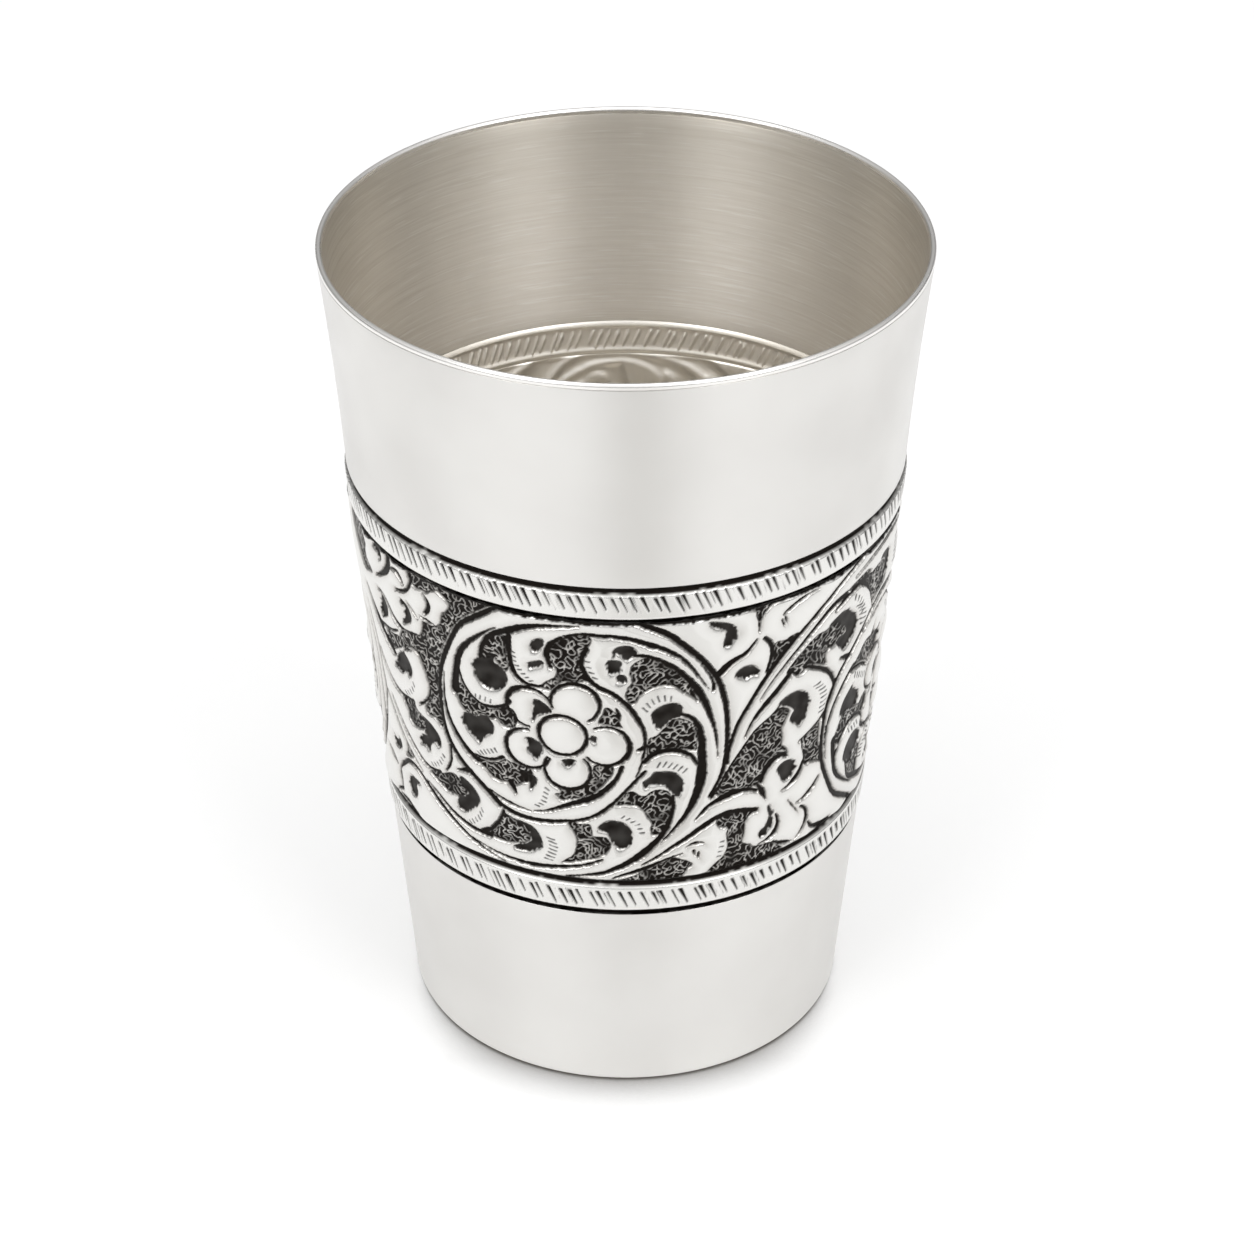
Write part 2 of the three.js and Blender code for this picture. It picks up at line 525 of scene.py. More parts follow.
@dataclass
class PlainWalls:
    """Rim wire, collar, lower wall and base disc: turned silver with no ornament."""

    wall: Wall
    segments: int = 512
    row_step: float = 1.6
    edge_round: float = 0.06
    rim_seam: float = 99.25
    rim_crown: float = 0.4
    rim_overhang: float = 0.04
    rim_chamfer: float = 0.1
    rim_points: int = 21
    base_thickness: float = 1.2
    base_corner: float = 1.1
    corner_points: int = 12
    standing_edge: float = 1.0  # the underside is brushed from this far within it
    spigot_height: float = 0.7
    pole_radius: float = 0.02  # smallest ring round the middle of the disc

    def rim(self, finish: bpy.types.Material) -> None:
        """Makes the half-round wire that closes the mouth.

        Args:
            finish: Its material.
        """
        wall, seam, cut = self.wall, self.rim_seam, self.rim_chamfer
        inner = -wall.sheet - self.rim_overhang
        half = -inner / 2
        springing = wall.mouth - self.rim_crown
        middle = float(wall.radius(springing)) - half
        arch = [
            (middle + half * math.cos(a), springing + self.rim_crown * math.sin(a))
            for a in np.linspace(0, math.pi, self.rim_points)
        ]
        foot = wall.section([(inner, seam + cut), (inner + cut, seam), (-cut, seam), (0.0, seam + cut)])
        piece = turned_ring("rim_wire_burnished", np.concatenate([foot, arch]), self.segments, wall)
        hand_over(piece, "rim_wire", finish)

    def collar(self, finish: bpy.types.Material) -> None:
        """Makes the flared upper wall.

        Args:
            finish: Its material.
        """
        wall = self.wall
        low = wall.upper_seam - wall.skirt
        corners = np.array([
            (0.0, wall.upper_seam), (0.0, self.rim_seam), (-wall.sheet, self.rim_seam),
            (-wall.sheet, low), (wall.skirt_face, low), (wall.skirt_face, wall.upper_seam),
        ])
        flared = wall.section(filled(softened(corners, self.edge_round), self.row_step))
        piece = turned_ring("collar_sheet", flared, self.segments, wall)
        hand_over(piece, "collar", finish)

    def lower(self, finish: bpy.types.Material) -> None:
        """Makes the plain wall under the frieze.

        Args:
            finish: Its material.
        """
        wall = self.wall
        foot = self.base_thickness
        shoulder = wall.lower_seam - wall.lap - wall.solder_gap
        rebate = -wall.groove_depth + wall.solder_gap
        corners = [
            (0.0, foot), (0.0, wall.lower_seam), (rebate, wall.lower_seam), (rebate, shoulder),
            (-wall.sheet, shoulder), (-wall.sheet, foot),
        ]
        rounded = softened(wall.section(corners), self.edge_round, closed=False)
        piece = turned_ring("lower_wall_sheet", filled(rounded, self.row_step), self.segments, wall)
        hand_over(piece, "lower_wall", finish)

    def base(self, finish: bpy.types.Material) -> None:
        """Makes the disc that the cup stands on, with its rounded edge.

        Args:
            finish: Its material.
        """
        wall, corner = self.wall, self.base_corner
        standing = float(wall.radius(corner)) - corner
        edge = [
            (standing + corner * math.sin(a), corner * (1 - math.cos(a)))
            for a in np.linspace(0, math.pi / 2, self.corner_points)
        ]
        side = -wall.sheet - wall.solder_gap
        top = self.base_thickness + self.spigot_height
        step = wall.section([(0.0, self.base_thickness), (side, self.base_thickness), (side, top)])
        outline = np.concatenate([[(self.pole_radius, 0.0)], edge, step, [(self.pole_radius, top)]])
        section = filled(outline, self.row_step, closed=False)
        points = ring_points(section, self.segments)
        under, over = len(points), len(points) + 1
        points = np.concatenate([points, [[0.0, 0.0, 0.0]], [[0.0, 0.0, top]]])
        on = np.arange(self.segments)
        beyond = (on + 1) % self.segments
        last = (len(section) - 1) * self.segments
        fans = np.concatenate([
            np.stack([np.full_like(on, under), beyond, on], axis=1),
            np.stack([np.full_like(on, over), last + on, last + beyond], axis=1),
        ])
        piece = mesh_piece("standing_disc", points, ring_faces(len(section), self.segments, False), fans)
        within = (section[:, 1] > self.base_thickness) | (section[:, 0] < standing - self.standing_edge)
        write_attribute(piece, "inside", np.concatenate([np.repeat(within, self.segments), [1, 1]]))
        piece.data.set_sharp_from_angle(angle=CREASE)
        hand_over(piece, "base_disc", finish)


# The hatched borders


class HatchTree:
    """Geometry Nodes that chase a row of leaning strokes into a border strip."""

    SIZES = (
        "Lean", "Half Width", "Lightest", "Softness", "Depth", "Back Depth",
        "Foot", "Top", "Fade", "Back Drop",
    )
    MIDDLE = (0.22, 0.78)  # where a stroke's middle may lie in its share of the strip
    HEAVIEST = 1.25
    SWELL = (0.4, 1.12)  # width of a stroke at its foot and at its top
    TOP_SHARE = -0.5  # a stroke ends this much of the fade lower
    END = 0.0001  # the strokes end within this, in metres

    def __init__(self) -> None:
        """Builds the tree once, for both borders."""
        self.tree = bpy.data.node_groups.new("border_hatching", "GeometryNodeTree")
        face = self.tree.interface
        face.new_socket("Geometry", in_out="INPUT", socket_type="NodeSocketGeometry")
        face.new_socket("Geometry", in_out="OUTPUT", socket_type="NodeSocketGeometry")
        kinds = {"Strokes": "NodeSocketInt", "Seed": "NodeSocketInt", "Finish": "NodeSocketMaterial"}
        kinds |= dict.fromkeys(self.SIZES, "NodeSocketFloat")
        self.sockets = {
            name: face.new_socket(name, in_out="INPUT", socket_type=kind).identifier
            for name, kind in kinds.items()
        }
        self.wire()

    def wire(self) -> None:
        """Links position to a stroke's number, that to the stroke's jitter, and both to depth and oxide."""
        add = partial(put, self.tree)
        size = add("NodeGroupInput").node.outputs
        x, y, z = add("SeparateXYZ", add("GeometryNodeInputPosition")).node.outputs
        inside, oxide = (
            add("GeometryNodeInputNamedAttribute", name, data_type="FLOAT") for name in ("inside", "oxide")
        )
        height = add("Math", inside, size["Back Drop"], z, operation="MULTIPLY_ADD")
        turn = add("Math", y, x, operation="ARCTAN2")
        share = add("Math", turn, math.tau, operation="DIVIDE")
        along = add("Math", share, size["Strokes"], operation="MULTIPLY")
        leaned = add("Math", height, size["Lean"], along, operation="MULTIPLY_ADD")
        number = add("Math", leaned, operation="FLOOR")
        stroke = add("Math", number, size["Strokes"], operation="FLOORED_MODULO")
        jitter = []
        for step, limits in enumerate((self.MIDDLE, (size["Lightest"], self.HEAVIEST), (0.0, 1.0))):
            seed = add("Math", size["Seed"], float(step), operation="ADD")
            jitter.append(add("FunctionNodeRandomValue", *limits, stroke, seed, data_type="FLOAT"))
        middle, weight, short = jitter
        within = add("Math", leaned, operation="FRACT")
        off = add("Math", add("Math", within, middle, operation="SUBTRACT"), operation="ABSOLUTE")
        start = add("Math", short, size["Fade"], size["Foot"], operation="MULTIPLY_ADD")
        lower = add("Math", size["Fade"], self.TOP_SHARE, operation="MULTIPLY")
        crest = add("Math", middle, lower, size["Top"], operation="MULTIPLY_ADD")
        rise = add("MapRange", height, start, crest, *self.SWELL)
        half = add("Math", size["Half Width"], weight, operation="MULTIPLY")
        swelling = add("Math", half, rise, operation="MULTIPLY")
        edge_out = add("Math", swelling, size["Softness"], operation="ADD")
        edge_in = add("Math", swelling, size["Softness"], operation="SUBTRACT")
        across = add("MapRange", off, edge_out, edge_in)
        foot_end = add("MapRange", height, add("Math", start, self.END, operation="SUBTRACT"), start)
        top_end = add("MapRange", height, add("Math", crest, self.END, operation="ADD"), crest)
        ends = add("Math", foot_end, top_end, operation="MULTIPLY")
        mark = add("Math", across, ends, operation="MULTIPLY")
        deep = add("Mix", inside, size["Depth"], size["Back Depth"], data_type="FLOAT")
        sunk = add("Math", deep, mark, operation="MULTIPLY")
        inward = add("Math", sunk, -1.0, operation="MULTIPLY")
        radial = add("VectorMath", add("CombineXYZ", x, y), operation="NORMALIZE")
        offset = add("VectorMath", radial, Scale=inward, operation="SCALE")
        moved = add("GeometryNodeSetPosition", size["Geometry"], Offset=offset)
        outside = add("Math", 1.0, inside, operation="SUBTRACT")
        inked = add("Math", mark, outside, operation="MULTIPLY")
        darkest = add("Math", inked, oxide, operation="MAXIMUM")
        stored = add(
            "GeometryNodeStoreNamedAttribute", moved, Name="oxide", Value=darkest,
            data_type="FLOAT", domain="POINT",
        )
        real = add("GeometryNodeRealizeInstances", stored)
        add("NodeGroupOutput", add("GeometryNodeSetMaterial", real, Material=size["Finish"]))

    def chase(self, piece: bpy.types.Object, sizes: dict[str, Any]) -> None:
        """Applies the tree to a ring and leaves a plain mesh.

        Args:
            piece: The ring that takes the strokes.
            sizes: Values of the tree's named inputs.
        """
        modifier = piece.modifiers.new("hatching", "NODES")
        modifier.node_group = self.tree
        for name, value in sizes.items():
            modifier[self.sockets[name]] = value
        graph = bpy.context.evaluated_depsgraph_get()
        made = bpy.data.meshes.new_from_object(piece.evaluated_get(graph), depsgraph=graph)
        piece.modifiers.remove(modifier)
        plain = piece.data
        piece.data = made
        made.name = piece.name
        bpy.data.meshes.remove(plain)


@dataclass
class Border:
    """A proud strip of hatching between two dark grooves."""

    wall: Wall
    node: str
    foot: float
    top: float
    low_line: float  # middle and half width of the groove below the strip
    low_half: float
    high_line: float
    high_half: float
    stroke_foot: float
    stroke_top: float
    strokes: int
    seed: int
    frieze_above: bool
    lean: float = 0.42  # sideways run of a stroke for each millimetre of height
    half_width: float = 0.18  # share of the spacing
    lightest: float = 0.55
    softness: float = 0.045
    depth: float = 0.14
    back_depth: float = 0.2
    fade: float = 0.65  # how much shorter the shortest stroke is
    back_drop: float = 1.0  # the strokes show this much lower inside
    thin_share: float = 1.7  # lighter strokes of a second pass, most of them left out
    thin_half_width: float = 0.08
    thin_lightest: float = -1.9
    thin_softness: float = 0.05
    thin_depth: float = 0.07
    thin_seed: int = 40
    segments: int = 2048
    proud: float = 0.25
    flank: float = 0.25
    face_round: float = 0.12
    row_step: float = 0.26
    lip: Pair = (-0.03, 0.05)  # offset and height of the bright lip at either seam
    step: float = 0.02  # between a seam and the first row
    ridge: float = 0.3  # inside, a ridge stands this proud behind each groove
    low_ridge: Pair = (-0.1, 0.5)  # levels of the lower one and of its flank, from the foot
    high_ridge: Pair = (-1.86, -1.5)  # levels of the upper one's flank and of itself, from the top
    back_round: float = 0.24
    back_step: float = 0.42
    film_rise: float = 0.06  # black ends this far over the wall at the foot, and this far under it elsewhere
    film_soft: float = 0.14
    grey_gain: float = 2.0  # grey reaches a little beyond the film
    # uneven rubbing: its height, two counts of waves round the ring, and how often the seed shifts the second
    rub_waves: tuple[tuple[float, int, int, int], ...] = ((0.1, 7, 17, 2), (0.09, 61, 43, 0))

    def section(self) -> Array:
        """Lays out the section, with close rows outside.

        Returns:
            Radius and height of each point, up the outside and down the inside.
        """
        wall, foot, top = self.wall, self.foot, self.top
        floor, sheet = -wall.groove_depth, -wall.sheet
        strip_foot = self.low_line + self.low_half
        strip_top = self.high_line - self.high_half
        lip, rise = self.lip
        face = wall.section([
            (floor, foot - wall.lap), (floor, foot + self.step), (lip, foot + rise),
            (floor, self.low_line - self.low_half), (floor, strip_foot),
            (self.proud, strip_foot + self.flank), (self.proud, strip_top - self.flank),
            (floor, strip_top), (floor, self.high_line + self.high_half),
            (lip, top - rise), (floor, top - self.step),
        ])
        ridge, slope_foot, hollow = sheet - self.ridge, sheet - 0.05, sheet + 0.1
        plain_end, frieze_end = sheet - 0.03, sheet + 0.17
        low_end, high_end = (plain_end, frieze_end) if self.frieze_above else (frieze_end, plain_end)
        shoulder = top - wall.skirt - 2 * self.step
        back = wall.section([
            (low_end, foot - wall.lap),
            (ridge, foot + self.low_ridge[0]), (slope_foot, foot + self.low_ridge[1]),
            (hollow, top + self.high_ridge[0]), (ridge, top + self.high_ridge[1]),
            (high_end, shoulder),
        ])
        skirt = wall.skirt_face + 0.01
        tongue = [(floor, top + wall.lap), (frieze_end, top + wall.lap)]
        behind_collar = [(skirt, top - self.step), (skirt, shoulder + self.step)]
        joint = wall.section(tongue if self.frieze_above else behind_collar)
        span = (strip_foot + 0.5 * self.flank, strip_top - 0.5 * self.flank)
        rounded = softened(face[3:9], self.face_round, closed=False, steps=1)
        strip = filled(rounded, self.row_step, closed=False, span=span)
        inner = softened(back, self.back_round, closed=False, steps=2)
        inner = filled(inner, self.back_step, closed=False, span=(foot, top))
        return np.concatenate([face[:3], strip, face[9:], joint, inner[::-1]])

    def film(self, section: Array) -> Array:
        """Lays the black in the grooves, unevenly rubbed away round the ring.

        Args:
            section: Radius and height of each point.

        Returns:
            Share of film, in rows round the ring.
        """
        offset = section[:, 0] - self.wall.radius(section[:, 1])
        shows = (section[:, 1] >= self.foot) & (section[:, 1] <= self.top)
        outside = (offset > -0.5 * self.wall.sheet - self.step) & shows
        turn = np.linspace(0, math.tau, self.segments, endpoint=False)
        rub = sum(
            high * np.sin(turn * one + self.seed) * np.sin(turn * two + turns * self.seed)
            for high, one, two, turns in self.rub_waves
        )
        black_below = np.where(section[:, 1] < self.low_line, self.film_rise, -self.film_rise)
        depth = black_below[:, None] - offset[:, None] + rub[None, :]
        return np.clip(depth / self.film_soft, 0, 1) * outside[:, None]

    def make(self, tree: HatchTree, finish: bpy.types.Material) -> None:
        """Turns the ring, chases it and hands it over.

        Args:
            tree: The hatching nodes.
            finish: The ring's material.
        """
        section = self.section()
        piece = turned_ring(f"{self.node}_hatched", section, self.segments, self.wall)
        film = self.film(section)
        write_attribute(piece, "oxide", film)
        write_attribute(piece, "shade", np.clip(film * self.grey_gain, 0, 1))
        pitch = math.tau * float(self.wall.radius(self.foot)) / self.strokes
        sizes = {
            "Strokes": self.strokes, "Lean": self.lean / pitch / MM, "Half Width": self.half_width,
            "Lightest": self.lightest, "Softness": self.softness, "Depth": self.depth * MM,
            "Back Depth": self.back_depth * MM, "Foot": self.stroke_foot * MM, "Top": self.stroke_top * MM,
            "Fade": self.fade * MM, "Back Drop": self.back_drop * MM, "Seed": self.seed, "Finish": finish,
        }
        tree.chase(piece, sizes)
        thin_strokes = round(self.thin_share * self.strokes)
        thin_pitch = pitch * self.strokes / thin_strokes
        tree.chase(piece, sizes | {
            "Strokes": thin_strokes, "Lean": self.lean / thin_pitch / MM, "Half Width": self.thin_half_width,
            "Lightest": self.thin_lightest, "Softness": self.thin_softness, "Depth": self.thin_depth * MM,
            "Back Depth": 0.0, "Seed": self.seed + self.thin_seed,
        })
        hand_over(piece, self.node)


# The chased frieze: its ornament is drawn on the unrolled band, in millimetres along and up


@dataclass(frozen=True)
class Cut:
    """A line cut with the chasing tool: its path, and its width at the start, middle and end."""

    path: str
    width: tuple[float, float, float]


@dataclass(frozen=True)
class Ticks:
    """A row of short strokes along a path, with their lean in degrees at the first and last."""

    path: str
    count: int
    length: float
    lean: Pair


@dataclass(frozen=True)
class Motif:
    """One part of the scroll: cut lines, matted ground, dark hollows and rows of ticks."""

    cuts: tuple[Cut, ...]
    grounds: tuple[str, ...]
    hollows: tuple[str, ...]
    ticks: tuple[Ticks, ...]


SPIRAL = Motif(
    cuts=(
        # ring of the scroll, down its left side and under the flower
        Cut("-14.2,68.8 -15.3,67.9 -17.2,66.4 -19.2,64.6 -20.4,62.4 -21.5,60 -22.4,57.8 -22.9,55.4 "
            "-23.1,52.6 -23,49.9 -22.5,47.7 -21.3,45.6 -19.4,43.8 -17.5,42.3 -15.4,40.5", (0.45, 0.5, 0.6)),
        Cut("-15.9,40.9 -15.4,40.5 -13.1,39.7 -10.3,39.6 -7.8,40 -5.1,40.6 -3.2,41.6 -1.6,43.1 .1,45.2 "
            "1.2,46.7 2.2,47.9", (0.55, 0.32, 0.3)),
        Cut("1.2,47.1 1.6,48.3 1.9,49.5 2.2,51.4 2.15,52.8 2,54 1.5,55 1.05,56 .5,57.1 -.2,57.8 -.9,58.6 "
            "-1.6,59.2 -2.6,59.6 -3.4,60.1 -4.1,61 -4.6,62 -4.85,63 -4.75,64 -4.2,65", (0.12, 0.42, 0.45)),
        # inner edge of the ring, and the wedge that splits it
        Cut("-5,68.15 -6.5,67.95 -7.6,67.75 -9,67.6 -10.4,67.2 -11.7,66.7 -12.8,66 -13.9,65.5 -14.9,64.9 "
            "-15.6,64.2 -16.1,63.3 -16.5,62.2 -16.7,61.1", (0.1, 0.6, 0.35)),
        Cut("-14.3,66 -15.3,65.35 -16.9,63.9 -18.5,62.2 -19.6,60.4 -20.1,58.3 -20.4,56.6 -20.55,55.1",
            (0.08, 0.5, 0.8)),
        Cut("-22,57 -22.2,55.5 -22.35,54 -22.35,52.5 -22.1,51 -21.5,49.5 -20.7,48.3 -19.9,47.3 -19,46.5 "
            "-18.2,46", (0.08, 0.42, 0.6)),
        # lobes inside the ring
        Cut("-19.8,58.6 -19.65,57.5 -19.3,56.5 -18.7,55.6 -18,54.9 -17.2,54.4 -16.2,54.3 -15.3,54.5 "
            "-14.3,54.9 -13.5,55.6 -13.2,56.2", (0.3, 0.35, 0.3)),
        Cut("-12.9,65.3 -13,63.8 -12.9,62.2 -12.8,61 -12.2,59.9 -11.4,59.2 -10.4,58.95 -9.3,59.1",
            (0.5, 0.45, 0.3)),
        Cut("-6.9,66.3 -7.9,65.5 -8.5,64.6 -8.65,63.7 -8.5,62.8 -8.2,62.1", (0.3, 0.55, 0.35)),
        Cut("-14.5,47.7 -15.4,47.1 -16.4,46.65 -17.2,46.5 -18.2,46.6", (0.25, 0.3, 0.3)),
        Cut("2.1,49.3 2.7,50.1 3.6,50.65 4.8,50.8 6,50.6 7,50.1 7.8,49.3 8.3,48.2", (0.45, 0.5, 0.25)),
        Cut("-1.1,57 -.75,56.3 -.75,55.2", (0.1, 0.4, 0.15)),
        Cut("-13.8,44.3 -13.4,43.6 -13.2,42.9", (0.6, 0.5, 0.2)),
        Cut("1.3,51 1.9,51.2", (0.1, 0.35, 0.5)),
        Cut("-21.3,43.25 -20.3,43.55 -19.3,43.9", (0.15, 0.45, 0.5)),
        # right side of the ring
        Cut("-6.5,66.5 -5.5,66.9 -4.6,67.1 -2.8,67 -1,66.9 .2,66.7 1.3,66.3 2.7,65.7 4.1,65.1 5.2,64.3 "
            "6.2,63.5 7,62.4 7.7,61.3 8.4,60.1 9.15,58.9", (0.25, 0.5, 0.05)),
        Cut(".9,64.3 1.7,64.35 2.6,64.1 3.6,63.6 4.6,62.9 5.6,62 6.5,61 7.3,59.9 8,58.7 8.7,57.3 9.3,55.8 "
            "9.8,54.2 10.2,52.7 10.5,51 10.65,49", (0.3, 0.62, 0.05)),
        Cut("1.2,68.9 2.2,68.4 3.2,67.8 4.3,67.3 5,66.6 6,65.6 6.8,64.8 7.6,63.8 8.4,62.9 9,62 9.7,60.9 "
            "10.2,60 10.7,58.7 11.1,57.1 11.4,55.7 11.6,54 11.7,52.3 11.75,50.5 11.7,49 11.6,47.6 "
            "11.2,45.9 10.6,44.5 10,43.3", (0.55, 0.45, 0.35)),
        Cut("8.2,62.5 8.8,61.5 9.4,60.5 9.8,59.5 9.75,58.6", (0.08, 0.15, 0.3)),
        Cut("6.2,55.7 7,55.4 7.8,54.6 8.3,53.6 8.6,52.2 8.7,50.5 8.8,48.5 8.8,46.5 8.5,44.5 7.9,42.7 "
            "7,40.9 6,39.5 5,38.3 4.2,37.3", (0.3, 0.9, 0.08)),
        Cut("5.5,44 5.6,43 5.5,42 5.25,40.6 4.8,39.3 4,38 3,36.8 2,35.8 1,35 0,34.3 -1,33.7 -2.3,33.05 "
            "-4,32.6 -5.5,32.25 -7.2,32", (0.3, 0.66, 0.12)),
        # second turn under the flower
        Cut("-10.9,40.9 -9.5,41.2 -8.3,41.8 -7,42.5 -5.5,43.2 -4.5,43.6 -3.6,44.1 -2.8,44.7 -2,45.6 "
            "-1.2,46.6 -.7,47.6 -.4,48.7", (0.1, 0.58, 0.3)),
        Cut("-16.6,42.2 -15.5,41.7 -14,41.2 -12.6,40.9 -11.3,40.8", (0.15, 0.3, 0.08)),
        # stem along the foot
        Cut("-20,33.85 -19,33.6 -17,33.15 -15,32.9 -13,32.75 -11,32.8 -9,33.05 -7,33.4 -5.5,33.75 "
            "-4.2,34.2 -2.8,34.9", (0.12, 0.44, 0.2)),
        Cut("-23,36.4 -22,35.95 -21,35.65 -20,35.4 -18.5,35.2 -17.2,35.3", (0.4, 0.45, 0.5)),
        Cut("-15,39.6 -15.5,38.4 -16.1,37.3 -17,36.2 -18.2,35.5", (0.3, 0.35, 0.5)),
    ),
    grounds=(
        "-14.8,64.8 -13.8,65.2 -13.1,65.1 -13.3,63.6 -13.3,62.2 -13.1,61 -13.4,60.2 -13.9,60.3 -14.3,61 "
        "-15,61.4 -16,61 -16.6,61.2 -16.5,62.3 -16,63.3 -15.4,64.2",
        "-20.6,55 -19.8,56.3 -19.2,56 -18.7,55.4 -17.8,54.5 -16.5,54.1 -15.3,54.3 -14,54.9 -12.9,55 "
        "-12.4,53.9 -12.6,53 -13.2,52.2 -14.4,52.3 -15.2,53 -15.9,52.7 -17,52.9 -18,52.4 -19.3,52.4 "
        "-20.2,53.7",
        "-6.9,66.3 -5.5,66.8 -4.3,66.9 -3.6,66.4 -4.1,65.2 -4.9,64.2 -5,62.8 -4.6,61.6 -4,60.8 -4.8,60.4 "
        "-6,60.3 -7.2,60 -8,59 -8.5,58.8 -9.4,59 -8.8,59.9 -7.9,60.6 -7.5,61.5 -8,62.4 -8.6,63 -8.5,64.6 "
        "-7.9,65.5",
        "1.2,63.6 2.3,64 3.2,63.6 4.3,62.9 5.3,61.9 6.2,60.8 7.2,59.3 8,57.4 7,58.3 5.8,59.3 4.6,60 "
        "3.2,59.9 2.2,59.3 1.4,58.5 .9,57.6 .3,57.9 0,58.7 .1,59.7 .6,60.6 .4,61.7 .6,62.8",
        "4.2,53.9 4.8,54.8 5.6,55.2 6.6,55 7.6,54.2 8.2,53 8.2,51.5 8,50.3 7,50.6 5.6,51 4.2,51 3.2,50.6 "
        "2.4,50 2.4,51.5 2.6,52.6 3.4,53",
        ".1,44.9 .8,45.1 1.4,44.6 2.2,44.4 2.9,44.9 3.6,45.2 4.4,45.1 5.1,44.5 5.5,43.5 5.5,42.4 5.3,41.2 "
        "5.1,40.1 4.6,39.2 3.9,38.5 3.2,38.6 2.9,39.2 3,40.3 2.5,41.2 2.1,42 1.6,42.7 .8,43 -.2,43.1 "
        "-1.2,43 -.6,43.9",
        "-6.9,40 -5.5,40 -4.3,40 -4,39.2 -3.9,38.4 -3.2,38.3 -2.4,38.2 -1.8,37.5 -1.8,36.6 -2.4,35.8 "
        "-3.3,35.2 -4.5,34.7 -6,34.3 -7.8,33.9 -7,34.6 -6.2,35.4 -5.9,36.5 -5.9,37.8 -6.3,38.8",
        "-15.1,39.4 -14.2,39.2 -13.4,38.7 -12.2,38.3 -11.7,37.4 -11.7,36.3 -12.6,35.6 -13.8,35.3 -15,35.1 "
        "-16.5,35.2 -17.6,35.4 -16.5,36.4 -15.9,37.4 -15.5,38.4",
        "-18.6,46.3 -17.4,46.3 -16.2,46.4 -15,46.9 -14.2,47.5 -13.6,47.3 -12.6,47.1 -11.2,46.9 -10.9,46.1 "
        "-11.2,45 -12.3,44.6 -13.1,44 -14.4,44.1 -15.4,44 -16.3,44.3 -17,45 -17.9,45.6",
        "-9.3,46.6 -8.5,45.9 -7.5,45.3 -6.2,45.2 -5,45.8 -4.2,46.8 -3.8,47.8 -3.7,48.6 -2.9,49 -1.9,48.9 "
        "-1.3,48.3 -1.7,47.2 -2.4,46.2 -3.2,45.2 -4,44.4 -5.2,43.8 -6.6,43.4 -7.6,43.2 -8.2,43.9 -7.6,44.4 "
        "-8.6,45.4",
        "-3,55.2 -2.6,56 -2.3,57 -1.8,57 -1.3,56.6 -.8,56 -.7,55 -.4,54.3 -1,54.3 -2,54.6 -2.9,54.6",
    ),
    hollows=(
        "-17.2,60.6 -17.6,59.7 -17.5,58.9 -17.2,58.1 -16.5,57.4 -15.6,57.2 -14.7,57.4 -13.9,58 -13.5,58.9 "
        "-13.6,59.8 -14.2,60.5 -15,61 -15,62 -15.9,62 -16.1,61.2",
        "-19.6,52 -19.7,51.2 -19.3,50.2 -18.4,49.4 -17.6,48.9 -17.2,49.6 -16.5,50.2 -15.8,50.9 -15.7,51.8 "
        "-16.2,52.6 -17,52.7 -17.8,52.2 -18.7,52.3",
        "-9.6,65.5 -9.05,65.6 -9,64.9 -9.3,64.3 -10.1,64.1 -10.3,64.6 -10.1,65.1",
        "-10.6,62 -10.1,62.3 -9.2,62.6 -9.1,62.2 -9.9,61.8 -10.5,61.6",
        "-.8,65.4 0,65.6 .7,65.4 1.2,64.7 .8,64.3 .2,63.9 -.3,64.2 -.7,64.6 -1.3,64.8 -1.3,64.2 -1.2,65",
        "-1.9,63.3 -1.4,63.6 -.6,63.4 -.6,62.6 -.8,62 -1.7,62.1",
        "-.7,61.6 0,61.3 -.1,60.8 -.9,60.8",
        "3,56.1 3.5,56.7 4.2,57.1 5,57.3 5.8,57.1 6.2,56.4 6.3,55.7 5.6,55.5 5,55.2 4.4,54.7 4,54.1 "
        "3.5,54.3 3.1,55.1",
        "2.1,45.8 2.2,46.4 2.9,47 3.3,47.6 3.9,47.6 4.6,47.6 5.4,47.4 6.1,46.8 6.5,46 6.6,45.2 6.3,44.3 "
        "5.9,44.1 5.5,44.6 5,45.2 4.6,45.8 4,46.1 3.2,46 2.7,45.9 2.5,45.6",
        "-2.6,40.2 -1.9,40.6 -.9,40.5 -.3,40.3 .2,39.8 .6,39.1 .7,38.3 .5,37.5 0,37 -.6,36.7 -1.1,36.9 "
        "-1.4,37.6 -1.8,38 -1.9,38.7 -2.5,39.2 -3.2,39.4",
        "-13.6,38.8 -12.5,38.7 -11.5,38.4 -10.8,37.7 -10.4,36.8 -10.3,35.8 -10.9,35.3 -11.3,35 -12,34.8 "
        "-13,34.7 -13.8,34.8 -13,35.3 -12,35.7 -11.5,36.4 -11.6,37.2 -12.1,38 -13,38.4",
        "-21,42.2 -20.2,42 -19.3,41.4 -18.7,40.6 -18.5,39.9 -18.8,39.2 -19.3,38.6 -20,38 -20.8,37.5 "
        "-21.6,37.6 -21.9,38 -21.7,38.7 -21.5,39.2 -20.6,39.6 -20.1,40.2 -20.5,40.8 -21.2,41.4",
        "-12.4,46.4 -11.5,46.2 -10.6,45.7 -10.7,44.8 -11.2,44.2 -11.4,45 -12.3,45.2",
        "-10.2,56.9 -9.4,56.8 -8.6,56.2 -8.5,55.7 -9.4,55.4 -10,54.9 -10.5,54.2 -10.3,55.2",
        "-11.4,51.3 -10.6,51.3 -9.9,50.9 -9.5,50 -9.9,49.6 -10.3,48.8 -10.8,49.3 -11.3,49.8 -11.1,50.5",
        "-7.2,48.9 -6.4,49.2 -5.8,49.1 -6,48.8 -6.6,48.4",
        "-3.8,52.8 -3.4,52.7 -3.4,52.2 -3.8,52.2",
    ),
    ticks=(
